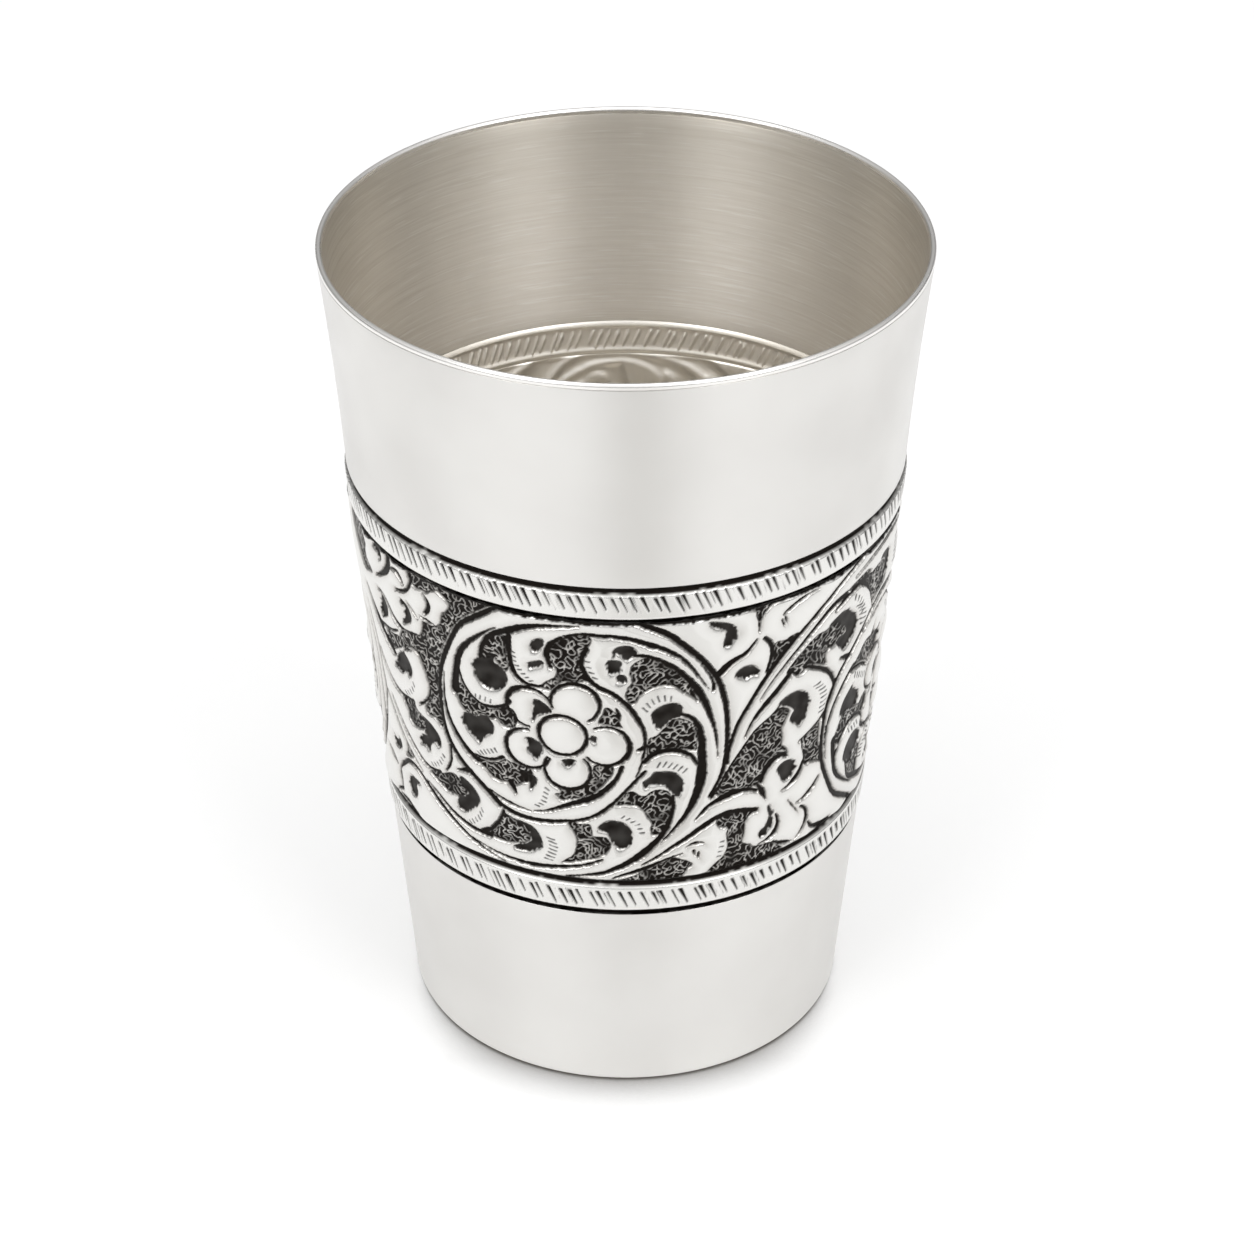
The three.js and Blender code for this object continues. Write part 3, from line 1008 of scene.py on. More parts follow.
        Ticks("-17.7,47.3 -16.6,47.9 -15.3,48.6", 6, 0.55, (125, 115)),
        Ticks("-12.35,63.3 -12.2,61.9 -11.4,60.8 -10.4,59.8", 8, 0.45, (0, 25)),
        Ticks("-4.1,63.5 -4,62.8 -3.7,62.1 -3.3,61.3", 4, 0.5, (5, -10)),
        Ticks("2.1,57 2.9,58.1 3.8,58.5 4.9,58.3", 6, 0.75, (130, 90)),
        Ticks("3.7,49 4.6,49 5.7,48.5 6.7,47.8", 6, 0.75, (62, 55)),
        Ticks("-.3,41.6 .7,41 1.4,40.4 1.9,39.2", 6, 0.5, (50, 0)),
        Ticks("-8.9,37.5 -8.6,36.6 -8.8,35.5 -9.3,34.3", 7, 0.95, (-8, -12)),
        Ticks("-17.9,38.9 -18.3,37.8 -19.1,36.9 -19.9,36.3", 6, 0.5, (125, 115)),
        Ticks("-9.1,44.7 -9.4,43.5 -9.7,42.6 -10.4,42", 6, 0.5, (145, 160)),
        Ticks("-17.5,55.5 -16.7,55.6 -15.5,55.5", 4, 0.65, (75, 72)),
        Ticks("-3.5,45 -4.6,44.3", 2, 0.3, (60, 60)),
    ),
)

RIGHT_BRANCH = Motif(
    cuts=(
        # stem that climbs to the next scroll
        Cut("11.85,47.5 12,49.5 12.5,51.5 12.9,52.9 13.5,54 14.2,55.3 14.9,56.5 15.7,57.8 16.5,58.9 "
            "17.4,60 18.3,61.1 19.4,62.1 20.6,63.1 21.8,64 23.1,65 24.4,65.85 25.8,66.8 27.2,67.6 "
            "28.6,68.2 30.1,68.75", (0.3, 0.5, 0.4)),
        Cut("15.6,55.6 16.8,57.4 17.6,58.3 18.6,59.3 19.6,60.3 20.6,61.1 21.7,62.1 22.8,62.9 23.9,63.75 "
            "24.9,64.4 26,64.75 27.4,64.9", (0.1, 0.38, 0.65)),
        Cut("13.9,50.8 14.6,52.4 15.4,53.6 16.3,54.5 17.2,55.4 18.1,56.3 18.9,57.2 19.7,58",
            (0.12, 0.6, 0.6)),
        # two leaves beside it
        Cut("21.6,57.7 22.4,57.4 23.3,56.9 24.6,56.1 25.6,55.3 26.4,54.3 26.9,53.3 27.1,52.4",
            (0.35, 0.4, 0.4)),
        Cut("27,51.9 26.6,50.8 26,49.7 25.3,48.9 24.5,48.3 23,47.6 21.8,47.1", (0.4, 0.42, 0.25)),
        Cut("10.2,43 11,44.3 11.6,45.5 12.2,46.7 13,48 14,49.5 15,50.95 16,51.8 17.5,52.75 18.4,53.6",
            (0.3, 0.3, 0.2)),
        # trefoil above the fork
        Cut("14.6,64.3 13.9,63.3 13.2,62.5 12,62.2 11.2,61.6 10.3,60.6", (0.2, 0.5, 0.7)),
        Cut("15.5,64.2 16.25,63.5 16.7,62.5 16.8,61.4 16.5,60.3 16.2,59.3", (0.25, 0.5, 0.3)),
        Cut("17.9,66.7 18.5,67.2 19.4,67.6 20.5,67.95 21.6,68.2 22.5,68.2", (0.3, 0.35, 0.05)),
        Cut("17.6,66 17.8,65.5 18,65.1", (0.1, 0.14, 0.05)),
        Cut("18,66.3 18.2,65.7 18.4,65.2", (0.1, 0.14, 0.05)),
        # stalk and leaf cluster below the fork
        Cut("8.3,40.2 9,41 9.6,41.7 10.4,42.2 11.4,42.6 12.5,42.9 14,43 15.2,42.8 16.1,42.3",
            (0.15, 0.66, 0.3)),
        Cut("2,34.2 3,34.8 4,35.4 5,36.1 6,36.8 7,37.4 8,38.1 9,38.75 10,39.4 11,39.9 12,40.2 13,40.15 "
            "14,40 15,39.7 16.2,39.4", (0.15, 0.55, 0.5)),
        Cut("-1.5,32.15 0,32.8 1,33.1 2,33.45 3.3,34 4.5,34.6 5.5,35 6.8,35.4", (0.2, 0.45, 0.1)),
        Cut("16.2,43 16.6,42.3 17,41.6 17.4,40.6", (0.3, 0.55, 0.1)),
        Cut("16.6,43.4 16.9,44.6 17.5,45.6 18.3,46.2 19.2,46.3 20.1,45.8", (0.4, 0.7, 0.3)),
        Cut("19.7,40.9 20.5,41 21.4,41.5 22.2,42.2 22.7,43 22.8,43.7", (0.1, 0.6, 0.4)),
        Cut("22.3,37.95 23.3,38 24.3,38.5 25.2,39.1 25.9,39.9", (0.1, 0.5, 0.4)),
        Cut("19.2,37.6 19.6,36.8 19.7,35.9 19.4,35.1 18.7,34.5 17.6,34.1 16.8,34", (0.15, 0.55, 0.1)),
        Cut("23.1,37 23.9,36.6 24.4,35.8 24.5,34.8 24.2,33.8 23.6,33 22.6,32.3", (0.15, 0.5, 0.15)),
        Cut("19.1,33.5 20,33 21,32.6 22.1,32.35", (0.3, 0.4, 0.15)),
        Cut("24.9,33.9 25.3,33.1 26.2,32.5 27.4,32.2 28.6,32.1 29.2,32.1", (0.15, 0.5, 0.3)),
        Cut("7.3,36.3 8,36.75 8.8,36.75 9.4,36.5", (0.1, 0.3, 0.1)),
        Cut("8.2,35.6 8.4,35", (0.15, 0.2, 0.1)),
        Cut("8.8,35.2 8.85,34.5", (0.15, 0.2, 0.1)),
        Cut("20.8,39 21.5,38.1 22.1,37.3 22.8,36.3", (0.05, 0.12, 0.05)),
    ),
    grounds=(
        "18.9,58.1 19.7,59.2 20.7,60.1 21.8,60.9 23,61.5 24.3,61.5 24.9,61.5 26,61.6 27,61.3 27.7,60.5 "
        "28.2,59.6 27.5,58.9 26.3,58.4 25.4,58.5 24.9,57.8 25.1,56.6 24,57 23,57.4 22.2,57.6 21.2,57 "
        "20.4,57 19.8,57.5",
        "14.8,51 15.8,51.9 16.9,52.5 18.2,53.3 19.2,53 19.9,52.3 19.4,51.2 19,50.3 19.1,49.5 19.2,48.6 "
        "19.2,47.8 20,46.8 20.2,45.7 19.4,46.3 18.4,46.6 17.4,46.2 16.9,45.2 16.6,44.2 16.2,43.2 15.5,43 "
        "14.2,43.3 13,43.2 11.9,43.1 10.9,43.1 10.5,43.6 11.2,44.6 11.8,45.7 12.2,46.5 12.9,47.8 13.7,49 "
        "14.3,50",
        "13.2,69.1 14.1,68.3 14.5,67 14.8,65.3 15,66.5 15.4,67.6 16.3,68.5 18,68.9 18.8,69.2",
        "17,63 18.2,62.9 19.3,63.2 20.1,63.1 19.3,62.2 18.3,61.2 17.4,60.2 16.6,59.2 16.9,60.8 17,62",
        "22.2,47.1 23.5,47.5 25,48.3 25.2,46.8 25.3,45.4 25.6,44.4 26.2,43.3 26.6,42.3 26,42.2 25.3,42.6 "
        "24.2,43 23.1,43.1 22.7,43.7 22.7,44.6 22.4,45.8",
        "10.9,39.3 12,39.9 13.5,39.9 15,39.5 16.1,39.3 15.3,38.8 14.8,38 14.8,37 14.7,36 14.6,35.1 "
        "15.6,34.5 16.1,34 17.2,33.8 18.5,33.7 19.3,33.3 20,32.6 20.6,32.1 19,31.9 17,31.9 15,31.9 13,31.8 "
        "11.5,31.9 10.2,32.1 11,33 12,33.8 12.5,34.8 12.5,36 12.3,37.2 12.4,38 11.3,38.3",
        "-.9,31.9 0,32.2 1,32.6 2,33.2 3,33.5 4,34.1 5,34.6 5.8,34.9 7,34.4 8,33.8 8.1,33.3 7.6,33 "
        "7.2,32.4 6.6,31.8 5,31.6 3,31.6 1,31.6",
        "27.4,65.1 28.5,65.6 30,65.9 31.5,66 32.5,65.3 31.5,64.4 30.3,64.6 29,65",
    ),
    hollows=(
        "25.1,61.7 26,62.2 27.2,62.5 28.3,62.1 29,61.3 29.4,60.2 29.6,59.2 29.2,58.2 28.6,57.3 28,57.3 "
        "27.2,58 26.8,58.6 27.5,58.9 28.4,59.3 28.1,60.1 27.5,60.9 26.5,61.4",
        "18.4,53.9 19.2,54.4 20.3,54.6 21.3,54.4 22.1,53.8 22.6,53 22.8,52.2 22.6,51 22.1,50.2 21.4,49.7 "
        "20.9,50.2 20.2,50.8 20.3,51.5 20.7,52.2 20,52.9 19.2,53.3",
        "9,67.9 10,67.7 11,67.3 11.8,66.7 12.1,66 11.9,65.2 11.3,64.5 10.8,64.6 10.9,65.3 11,66 10.8,66.7 "
        "10.2,67.1 9.5,67.4",
        "12.4,59.9 12.7,60.4 13.3,60.7 14,60.7 14.6,60.4 15,59.9 14.9,59.4 14.2,59.5 13.6,59.3 13,59.5",
        "18.9,44.2 19.3,44.7 20,44.95 20.9,44.7 21.4,44.1 21.4,43.3 20.9,42.5 20.4,42.3 19.8,42.4 19.5,43 "
        "19.2,43.6",
        "18,39.3 18.5,38.4 18.7,37.4 18.7,36.4 18.2,35.9 17.5,35.2 17,35.3 17.1,35.8 17.7,36.2 18.1,36.9 "
        "18.3,37.8 18.1,38.6",
    ),
    ticks=(
        Ticks("30.1,62.1 30.8,61.3 31.2,60.3 31.5,58.9", 6, 1, (-8, -8)),
        Ticks("23.5,54.6 24.5,53.4 24.9,52 24.8,50.2", 8, 1, (8, -5)),
        Ticks("11.7,36.3 11.6,35.5 11.4,34.2", 4, 0.5, (-8, -12)),
    ),
)

LEFT_BRANCH = Motif(
    cuts=(
        # leaf cluster above
        Cut("-30.4,68.8 -30.35,67.6 -30.9,66.5 -31.8,65.6 -32.8,64.8 -33.9,64.2", (0.8, 0.6, 0.1)),
        Cut("-26.3,68.6 -26.2,67.3 -26.6,66.3 -27.3,65.5 -28.2,64.95 -29.3,64.75", (0.3, 0.32, 0.2)),
        Cut("-29.9,67.2 -29.3,67.6 -28.6,67.5 -28,67 -27.7,66.3", (0.15, 0.45, 0.3)),
        Cut("-24.2,66.7 -23.6,66.2 -23.4,65.4 -23.6,64.7 -24.2,64", (0.15, 0.5, 0.35)),
        Cut("-25,63.2 -24,63.1 -22.8,63.05", (0.1, 0.35, 0.1)),
        Cut("-27.3,63.9 -26.6,63.6 -26,63 -25.5,62.6", (0.1, 0.2, 0.1)),
        Cut("-29.8,59.7 -28.6,59.4 -27.3,59.7 -25.9,60.1", (0.35, 0.25, 0.2)),
        Cut("-34,62.2 -33,62.3 -32.2,61.9 -31.5,61.2 -30.8,60.4 -30,59.8 -29.2,59.5", (0.15, 0.42, 0.5)),
        Cut("-34.6,57.5 -33.2,57.6 -31.8,57.8 -30.6,58.2 -29.9,58.7", (0.3, 0.22, 0.15)),
        Cut("-38,60.6 -37.3,60.2 -36.5,59.2 -35.5,58 -34.5,57 -33.4,56.1 -32.4,55.3 -31.6,54.7",
            (0.3, 1, 0.6)),
        # fork and its stems
        Cut("-38.6,58 -38,57 -37.3,55.7 -36.7,54.3 -36.4,53.2 -36.2,52 -36.1,51 -35.9,50 -35.7,48.7 "
            "-35.6,47.3 -35.9,46 -36.3,44.8 -36.7,43.3 -37.2,42 -38,40.2 -39.2,38.6", (0.3, 0.42, 0.3)),
        Cut("-29.2,56.3 -28.4,56.9 -27.4,57.2", (0.1, 0.2, 0.1)),
        Cut("-24.8,53 -25,52 -25.6,51.1 -26.4,50.3 -27,49.9", (0.15, 0.25, 0.2)),
        Cut("-35.6,52.9 -34.7,51.7 -34,50.9 -33,50 -32,49.5 -30.7,49.2 -29.3,49.4 -28.2,49.6",
            (0.35, 0.45, 0.3)),
        Cut("-33.6,47.4 -32.5,45.9 -31,44.2 -30,43.2 -29,42.3 -28,41.6 -27,41.1 -25.8,41 -24.4,41.4",
            (0.2, 0.42, 0.3)),
        Cut("-35,47.3 -34.2,46.2 -33,44.4 -31.9,42.9 -31,41.9 -30,41 -29,40.2 -28.3,39.7",
            (0.3, 0.36, 0.25)),
        Cut("-33.8,37.2 -32.8,38.2 -31.8,39 -30.8,39.5 -29.8,39.5 -28.8,39.1 -27.8,38.5 -26.5,37.5 "
            "-25.2,36.6 -24,35.8 -22.8,35.1 -21.5,34.3 -20.2,33.7 -19,33.2 -17.8,32.8 -16.5,32.4 "
            "-15.2,32.1", (0.35, 0.58, 0.1)),
        Cut("-27.2,38.7 -26,38.2 -25,37.6 -24,36.95 -23,36.4", (0.15, 0.4, 0.4)),
        Cut("-22.3,46.2 -22.2,45.2 -22.3,44.1 -22.8,43 -23.3,42.2", (0.3, 0.3, 0.15)),
        # trefoil below
        Cut("-37.6,38 -36.8,37.6 -36,37.3 -35,36.9", (0.3, 0.6, 0.2)),
        Cut("-34.1,37 -34.4,35.8 -34.4,34.8 -34.2,33.8", (0.25, 0.6, 0.35)),
        Cut("-36.2,32.4 -35.2,33 -34.2,33.5", (0.1, 0.3, 0.3)),
        Cut("-35.2,32.3 -34,32.3 -32.9,32.5 -32,32.2 -30.5,31.9", (0.25, 0.5, 0.2)),
    ),
    grounds=(
        "-26.4,69 -20,69 -14.8,69 -15.5,68.3 -17,67.1 -18.5,65.9 -19.8,64.3 -20.9,62.3 -21.9,60.3 "
        "-22.6,58.2 -23.1,56 -23.3,54 -23.4,52 -23.3,50.5 -23,49.5 -23.3,48.3 -24.3,49.2 -25.6,49.2 -26,50 "
        "-25.2,51.5 -24.9,53 -25.2,54.8 -25.8,56.3 -26.4,57.2 -27.6,57.5 -29,56.6 -29.8,57.4 -29.4,58.8 "
        "-28.6,59.3 -27,59.7 -25.6,60.3 -25,61.5 -24.8,62.6 -23,62.8 -22,63.6 -21.6,65 -20.8,65.9 -20.4,67 "
        "-22,68 -23.5,67.1 -24.5,67 -26,67.1",
        "-33,57.3 -31,57.6 -29.9,57.9 -29.3,57.2 -29.8,56.3 -30.6,55.8 -31.4,55.3 -32.3,56",
        "-31,49.1 -29.6,49.3 -28.2,49.5 -27.7,48.7 -26.8,48.1 -26.5,47.2 -26.6,46.5 -27.8,45.9 -29,45.9 "
        "-29.8,46.5 -29.9,47.4 -30.5,48.3",
        "-26.6,40.4 -25.5,41 -24,41.4 -22.8,42.1 -21.8,42.2 -21.2,41.4 -20.5,40.8 -20.2,40.2 -21,39.5 "
        "-22.3,39.1 -23.6,39.1 -25,39.7",
        "-31.5,42.3 -31.4,41 -31.9,40 -30.4,40.2 -30.1,41",
        "-35,63.9 -36.2,64.7 -36.7,66 -36.3,67.2 -37.2,68.3 -38.5,68.9 -43,68.9 -44.5,67.4 -43,66 -41,64.6 "
        "-39.5,63.4 -38,62.8 -36.3,63.2",
    ),
    hollows=(
        "-34,68.2 -33,68.9 -32.3,68.6 -32.1,67.6 -32.5,67 -32.8,67.7 -33.2,68",
        "-28.6,63.6 -27.8,63.5 -27.2,63 -26.95,62.2 -27.2,61.3 -27.8,60.8 -28.4,60.6 -28.1,61.3 -27.9,62 "
        "-28,62.9",
        "-33.4,61.7 -32.7,61.4 -32.1,60.6 -32.2,59.7 -32.9,59 -33.5,58.8 -33.8,59.4 -33.6,60.2 -33.5,61",
        "-31.7,53 -31,53.7 -30.9,54.5 -30.2,55.2 -29.5,55.9 -28.8,55.5 -28.3,54.8 -28.1,54 -28.5,53 "
        "-29,53.5 -29.4,53.2 -30,52.8 -30.8,52.9",
        "-26.6,48 -25.6,47.8 -24.8,47.3 -24.2,46.7 -24,45.9 -24.2,45.2 -24.9,45.6 -25.5,45.2 -26,44.5 "
        "-26.2,43.7 -26.8,44.1 -27.7,44 -27.6,44.8 -27.1,45.3 -26.4,45.6 -26.4,46.4 -26.5,47.2",
        "-35.1,40 -34.8,41 -34.3,40.6 -33.7,40.8 -33.2,41.4 -33,40.6 -33.6,39.8 -34.5,39.6",
        "-31.7,36.5 -31,37.1 -30,37.1 -29.2,37 -30.2,36.6 -30.2,35.6 -30.5,34.7 -31,34.3 -31.7,34.6 "
        "-31.9,35.3",
    ),
    ticks=(
        Ticks("-27.4,52.5 -27.8,51.5 -28.4,50.9 -29.3,50.3", 5, 0.5, (130, 120)),
        Ticks("-23.3,44.4 -23.9,43.2 -24.7,42.5 -25.5,42.1", 6, 0.45, (125, 115)),
    ),
)


def traced(text: str) -> Array:
    """Reads a path written as pairs of millimetres along and up."""
    return np.array([[float(v) for v in pair.split(",")] for pair in text.split()])


def curve(points: Array, closed: bool = False, step: float = 0.25, evened: int = 0) -> Array:
    """Draws a smooth line through points.

    Args:
        points: The points that it passes.
        closed: Whether it returns to its start.
        step: Distance between its samples.
        evened: How often an open line is averaged with its neighbours, to take out kinks.

    Returns:
        Samples along the line.
    """
    if closed:
        knots = np.concatenate([points[-1:], points, points[:2]])
    else:
        knots = np.concatenate([2 * points[:1] - points[1:2], points, 2 * points[-1:] - points[-2:-1]])
    out = []
    for a, b, c, d in zip(knots[:-3], knots[1:-2], knots[2:-1], knots[3:]):
        count = max(2, math.ceil(np.hypot(*(c - b)) / step))
        t = np.linspace(0, 1, count, endpoint=False)[:, None]
        bend = (2 * a - 5 * b + 4 * c - d) * t ** 2 + (3 * b - a - 3 * c + d) * t ** 3
        out.append(0.5 * (2 * b + (c - a) * t + bend))
    if not closed:
        out.append(points[-1:])
    line = np.concatenate(out)
    for _ in range(evened):
        line[1:-1] = (line[:-2] + 2 * line[1:-1] + line[2:]) / 4
    return line


def arc(middle: Pair, radius: float, start: float, end: float, count: int = 48) -> Array:
    """Points on part of a circle, between two angles in degrees."""
    turn = np.radians(np.linspace(start, end, count))
    return np.stack([middle[0] + radius * np.cos(turn), middle[1] + radius * np.sin(turn)], axis=1)


def spread(widths: tuple[float, float, float], count: int) -> Array:
    """Widths along a line, from those at its start, middle and end."""
    return np.interp(np.linspace(0, 2, count), [0, 1, 2], widths)


class Layer(Enum):
    """What the chaser did to the band."""

    CUT = "cut"
    GROUND = "ground"
    HOLLOW = "hollow"
    TICK = "tick"


class UnrolledBand:
    """Distance from each point of the unrolled band to the nearest edge of each layer, negative within it."""

    REACH = 2.2
    RUN = 16  # samples of a line that share a window
    EVENED = 16  # rounds of averaging along a cut
    TICK_HALF = 0.1
    TICK_REACH = 0.5
    LEAST_SQUARE = 1e-9  # keeps a side of no length from dividing by zero

    def __init__(self, columns: Array, rows: Array) -> None:
        """Starts with nothing drawn.

        Args:
            columns: Rising places along the band.
            rows: Rising heights.
        """
        self.columns = columns
        self.rows = rows
        self.layers = {layer: np.full((len(rows), len(columns)), self.REACH) for layer in Layer}

    def window(self, points: Array, reach: float) -> tuple[slice, slice]:
        """Finds the part of the grid within reach of some points.

        Args:
            points: The points.
            reach: How far beyond them it goes.

        Returns:
            Its rows and its columns.
        """
        low = points.min(axis=0) - reach
        high = points.max(axis=0) + reach
        left, right = np.searchsorted(self.columns, [low[0], high[0]])
        under, over = np.searchsorted(self.rows, [low[1], high[1]])
        return slice(under, over), slice(left, right)

    def side(self, a: Array, b: Array, across: Array, up: Array) -> tuple[Array, Array]:
        """Measures from grid points to a straight side.

        Args:
            a: Start of the side.
            b: Its end.
            across: Places of the grid points along the band.
            up: Their heights.

        Returns:
            Share of the side at the nearest place, and the distance to it.
        """
        run = b - a
        square = max(run @ run, self.LEAST_SQUARE)
        t = np.clip(((across - a[0]) * run[0] + (up - a[1]) * run[1]) / square, 0, 1)
        return t, np.hypot(across - a[0] - t * run[0], up - a[1] - t * run[1])

    def line(self, layer: Layer, path: Array, half: Array, reach: float = REACH) -> None:
        """Draws a line of changing width.

        Args:
            layer: The layer that takes it.
            path: Samples along the line.
            half: Half its width at each sample.
            reach: How far out its distance is kept.
        """
        for start in range(0, len(path) - 1, self.RUN):
            part = path[start:start + self.RUN + 1]
            share = half[start:start + self.RUN + 1]
            rows, columns = self.window(part, reach + share.max())
            if rows.start >= rows.stop or columns.start >= columns.stop:
                continue
            across = self.columns[columns][None, :]
            up = self.rows[rows][:, None]
            best = self.layers[layer][rows, columns]
            for a, b, wide_a, wide_b in zip(part[:-1], part[1:], share[:-1], share[1:]):
                t, gap = self.side(a, b, across, up)
                np.minimum(best, gap - wide_a - (wide_b - wide_a) * t, out=best)

    def patch(self, layer: Layer, outline: Array) -> None:
        """Draws a closed patch.

        Args:
            layer: The layer that takes it.
            outline: Samples round its edge.
        """
        rows, columns = self.window(outline, self.REACH)
        if rows.start >= rows.stop or columns.start >= columns.stop:
            return
        across, up = np.meshgrid(self.columns[columns], self.rows[rows])
        within = np.zeros(across.shape, bool)
        gap = np.full(across.shape, self.REACH)
        for a, b in zip(outline, np.roll(outline, -1, axis=0)):
            np.minimum(gap, self.side(a, b, across, up)[1], out=gap)
            if a[1] != b[1]:
                run = b - a
                level = (a[1] > up) != (b[1] > up)
                within ^= level & (across < run[0] * (up - a[1]) / run[1] + a[0])
        best = self.layers[layer][rows, columns]
        np.minimum(best, np.where(within, -gap, gap), out=best)

    def motif(self, motif: Motif, place: Placing, gain: float) -> None:
        """Draws one part of the scroll.

        Args:
            motif: The part.
            place: Moves its points to where it stands.
            gain: Factor on the width of its cuts.
        """
        for cut in motif.cuts:
            path = place(curve(traced(cut.path), evened=self.EVENED))
            self.line(Layer.CUT, path, 0.5 * gain * spread(cut.width, len(path)))
        for layer, outlines in ((Layer.GROUND, motif.grounds), (Layer.HOLLOW, motif.hollows)):
            for outline in outlines:
                self.patch(layer, place(curve(traced(outline), closed=True)))
        for row in motif.ticks:
            self.tick_row(row, place)

    def tick_row(self, row: Ticks, place: Placing) -> None:
        """Draws a row of short strokes.

        Args:
            row: The row.
            place: Moves its points to where it stands.
        """
        path = curve(traced(row.path))
        length = np.concatenate([[0], np.cumsum(np.hypot(*np.diff(path, axis=0).T))])
        stations = np.linspace(0, length[-1], row.count)
        leans = np.radians(np.linspace(*row.lean, row.count))
        for station, lean in zip(stations, leans):
            middle = np.array([np.interp(station, length, axis) for axis in path.T])
            arm = 0.5 * row.length * np.array([math.cos(lean), math.sin(lean)])
            ends = place(np.array([middle - arm, middle + arm]))
            self.line(Layer.TICK, ends, np.full(2, self.TICK_HALF), reach=self.TICK_REACH)


def lattice_noise(along: Array, up: Array, pitch: Pair, round_: float, seed: int) -> Array:
    """Smooth noise that closes round the cup.

    Args:
        along: Places along the band.
        up: Heights.
        pitch: Size of a lattice cell along and up.
        round_: Length of the band.
        seed: Seed of the lattice.

    Returns:
        Noise between about -0.7 and 0.7.
    """
    cells = round(round_ / pitch[0])
    x = along / round_ * cells
    y = up / pitch[1]
    column = np.floor(x).astype(int)
    row = np.floor(y).astype(int)
    turn = np.random.default_rng(seed).random((cells, int(row.max()) + 2)) * math.tau
    slope_x, slope_y = np.cos(turn), np.sin(turn)
    dx, dy = x - column, y - row
    ease_x, ease_y = (t ** 3 * (t * (t * 6 - 15) + 10) for t in (dx, dy))

    def pull(step_x: int, step_y: int) -> Array:
        """Share of one lattice corner."""
        at = (column + step_x) % cells, row + step_y
        return slope_x[at] * (dx - step_x) + slope_y[at] * (dy - step_y)

    low = pull(0, 0) * (1 - ease_x) + pull(1, 0) * ease_x
    high = pull(0, 1) * (1 - ease_x) + pull(1, 1) * ease_x
    return low * (1 - ease_y) + high * ease_y


def blurred(field: Array, steps: int) -> Array:
    """Averages a field with its neighbours, round the cup and up.

    Args:
        field: Rows of values round the cup.
        steps: How many times it is averaged.

    Returns:
        The smoothed field.
    """
    for _ in range(steps):
        field = (np.roll(field, 1, axis=1) + 2 * field + np.roll(field, -1, axis=1)) / 4
        padded = np.concatenate([field[:1], field, field[-1:]])
        field = (padded[:-2] + 2 * field + padded[2:]) / 4
    return field


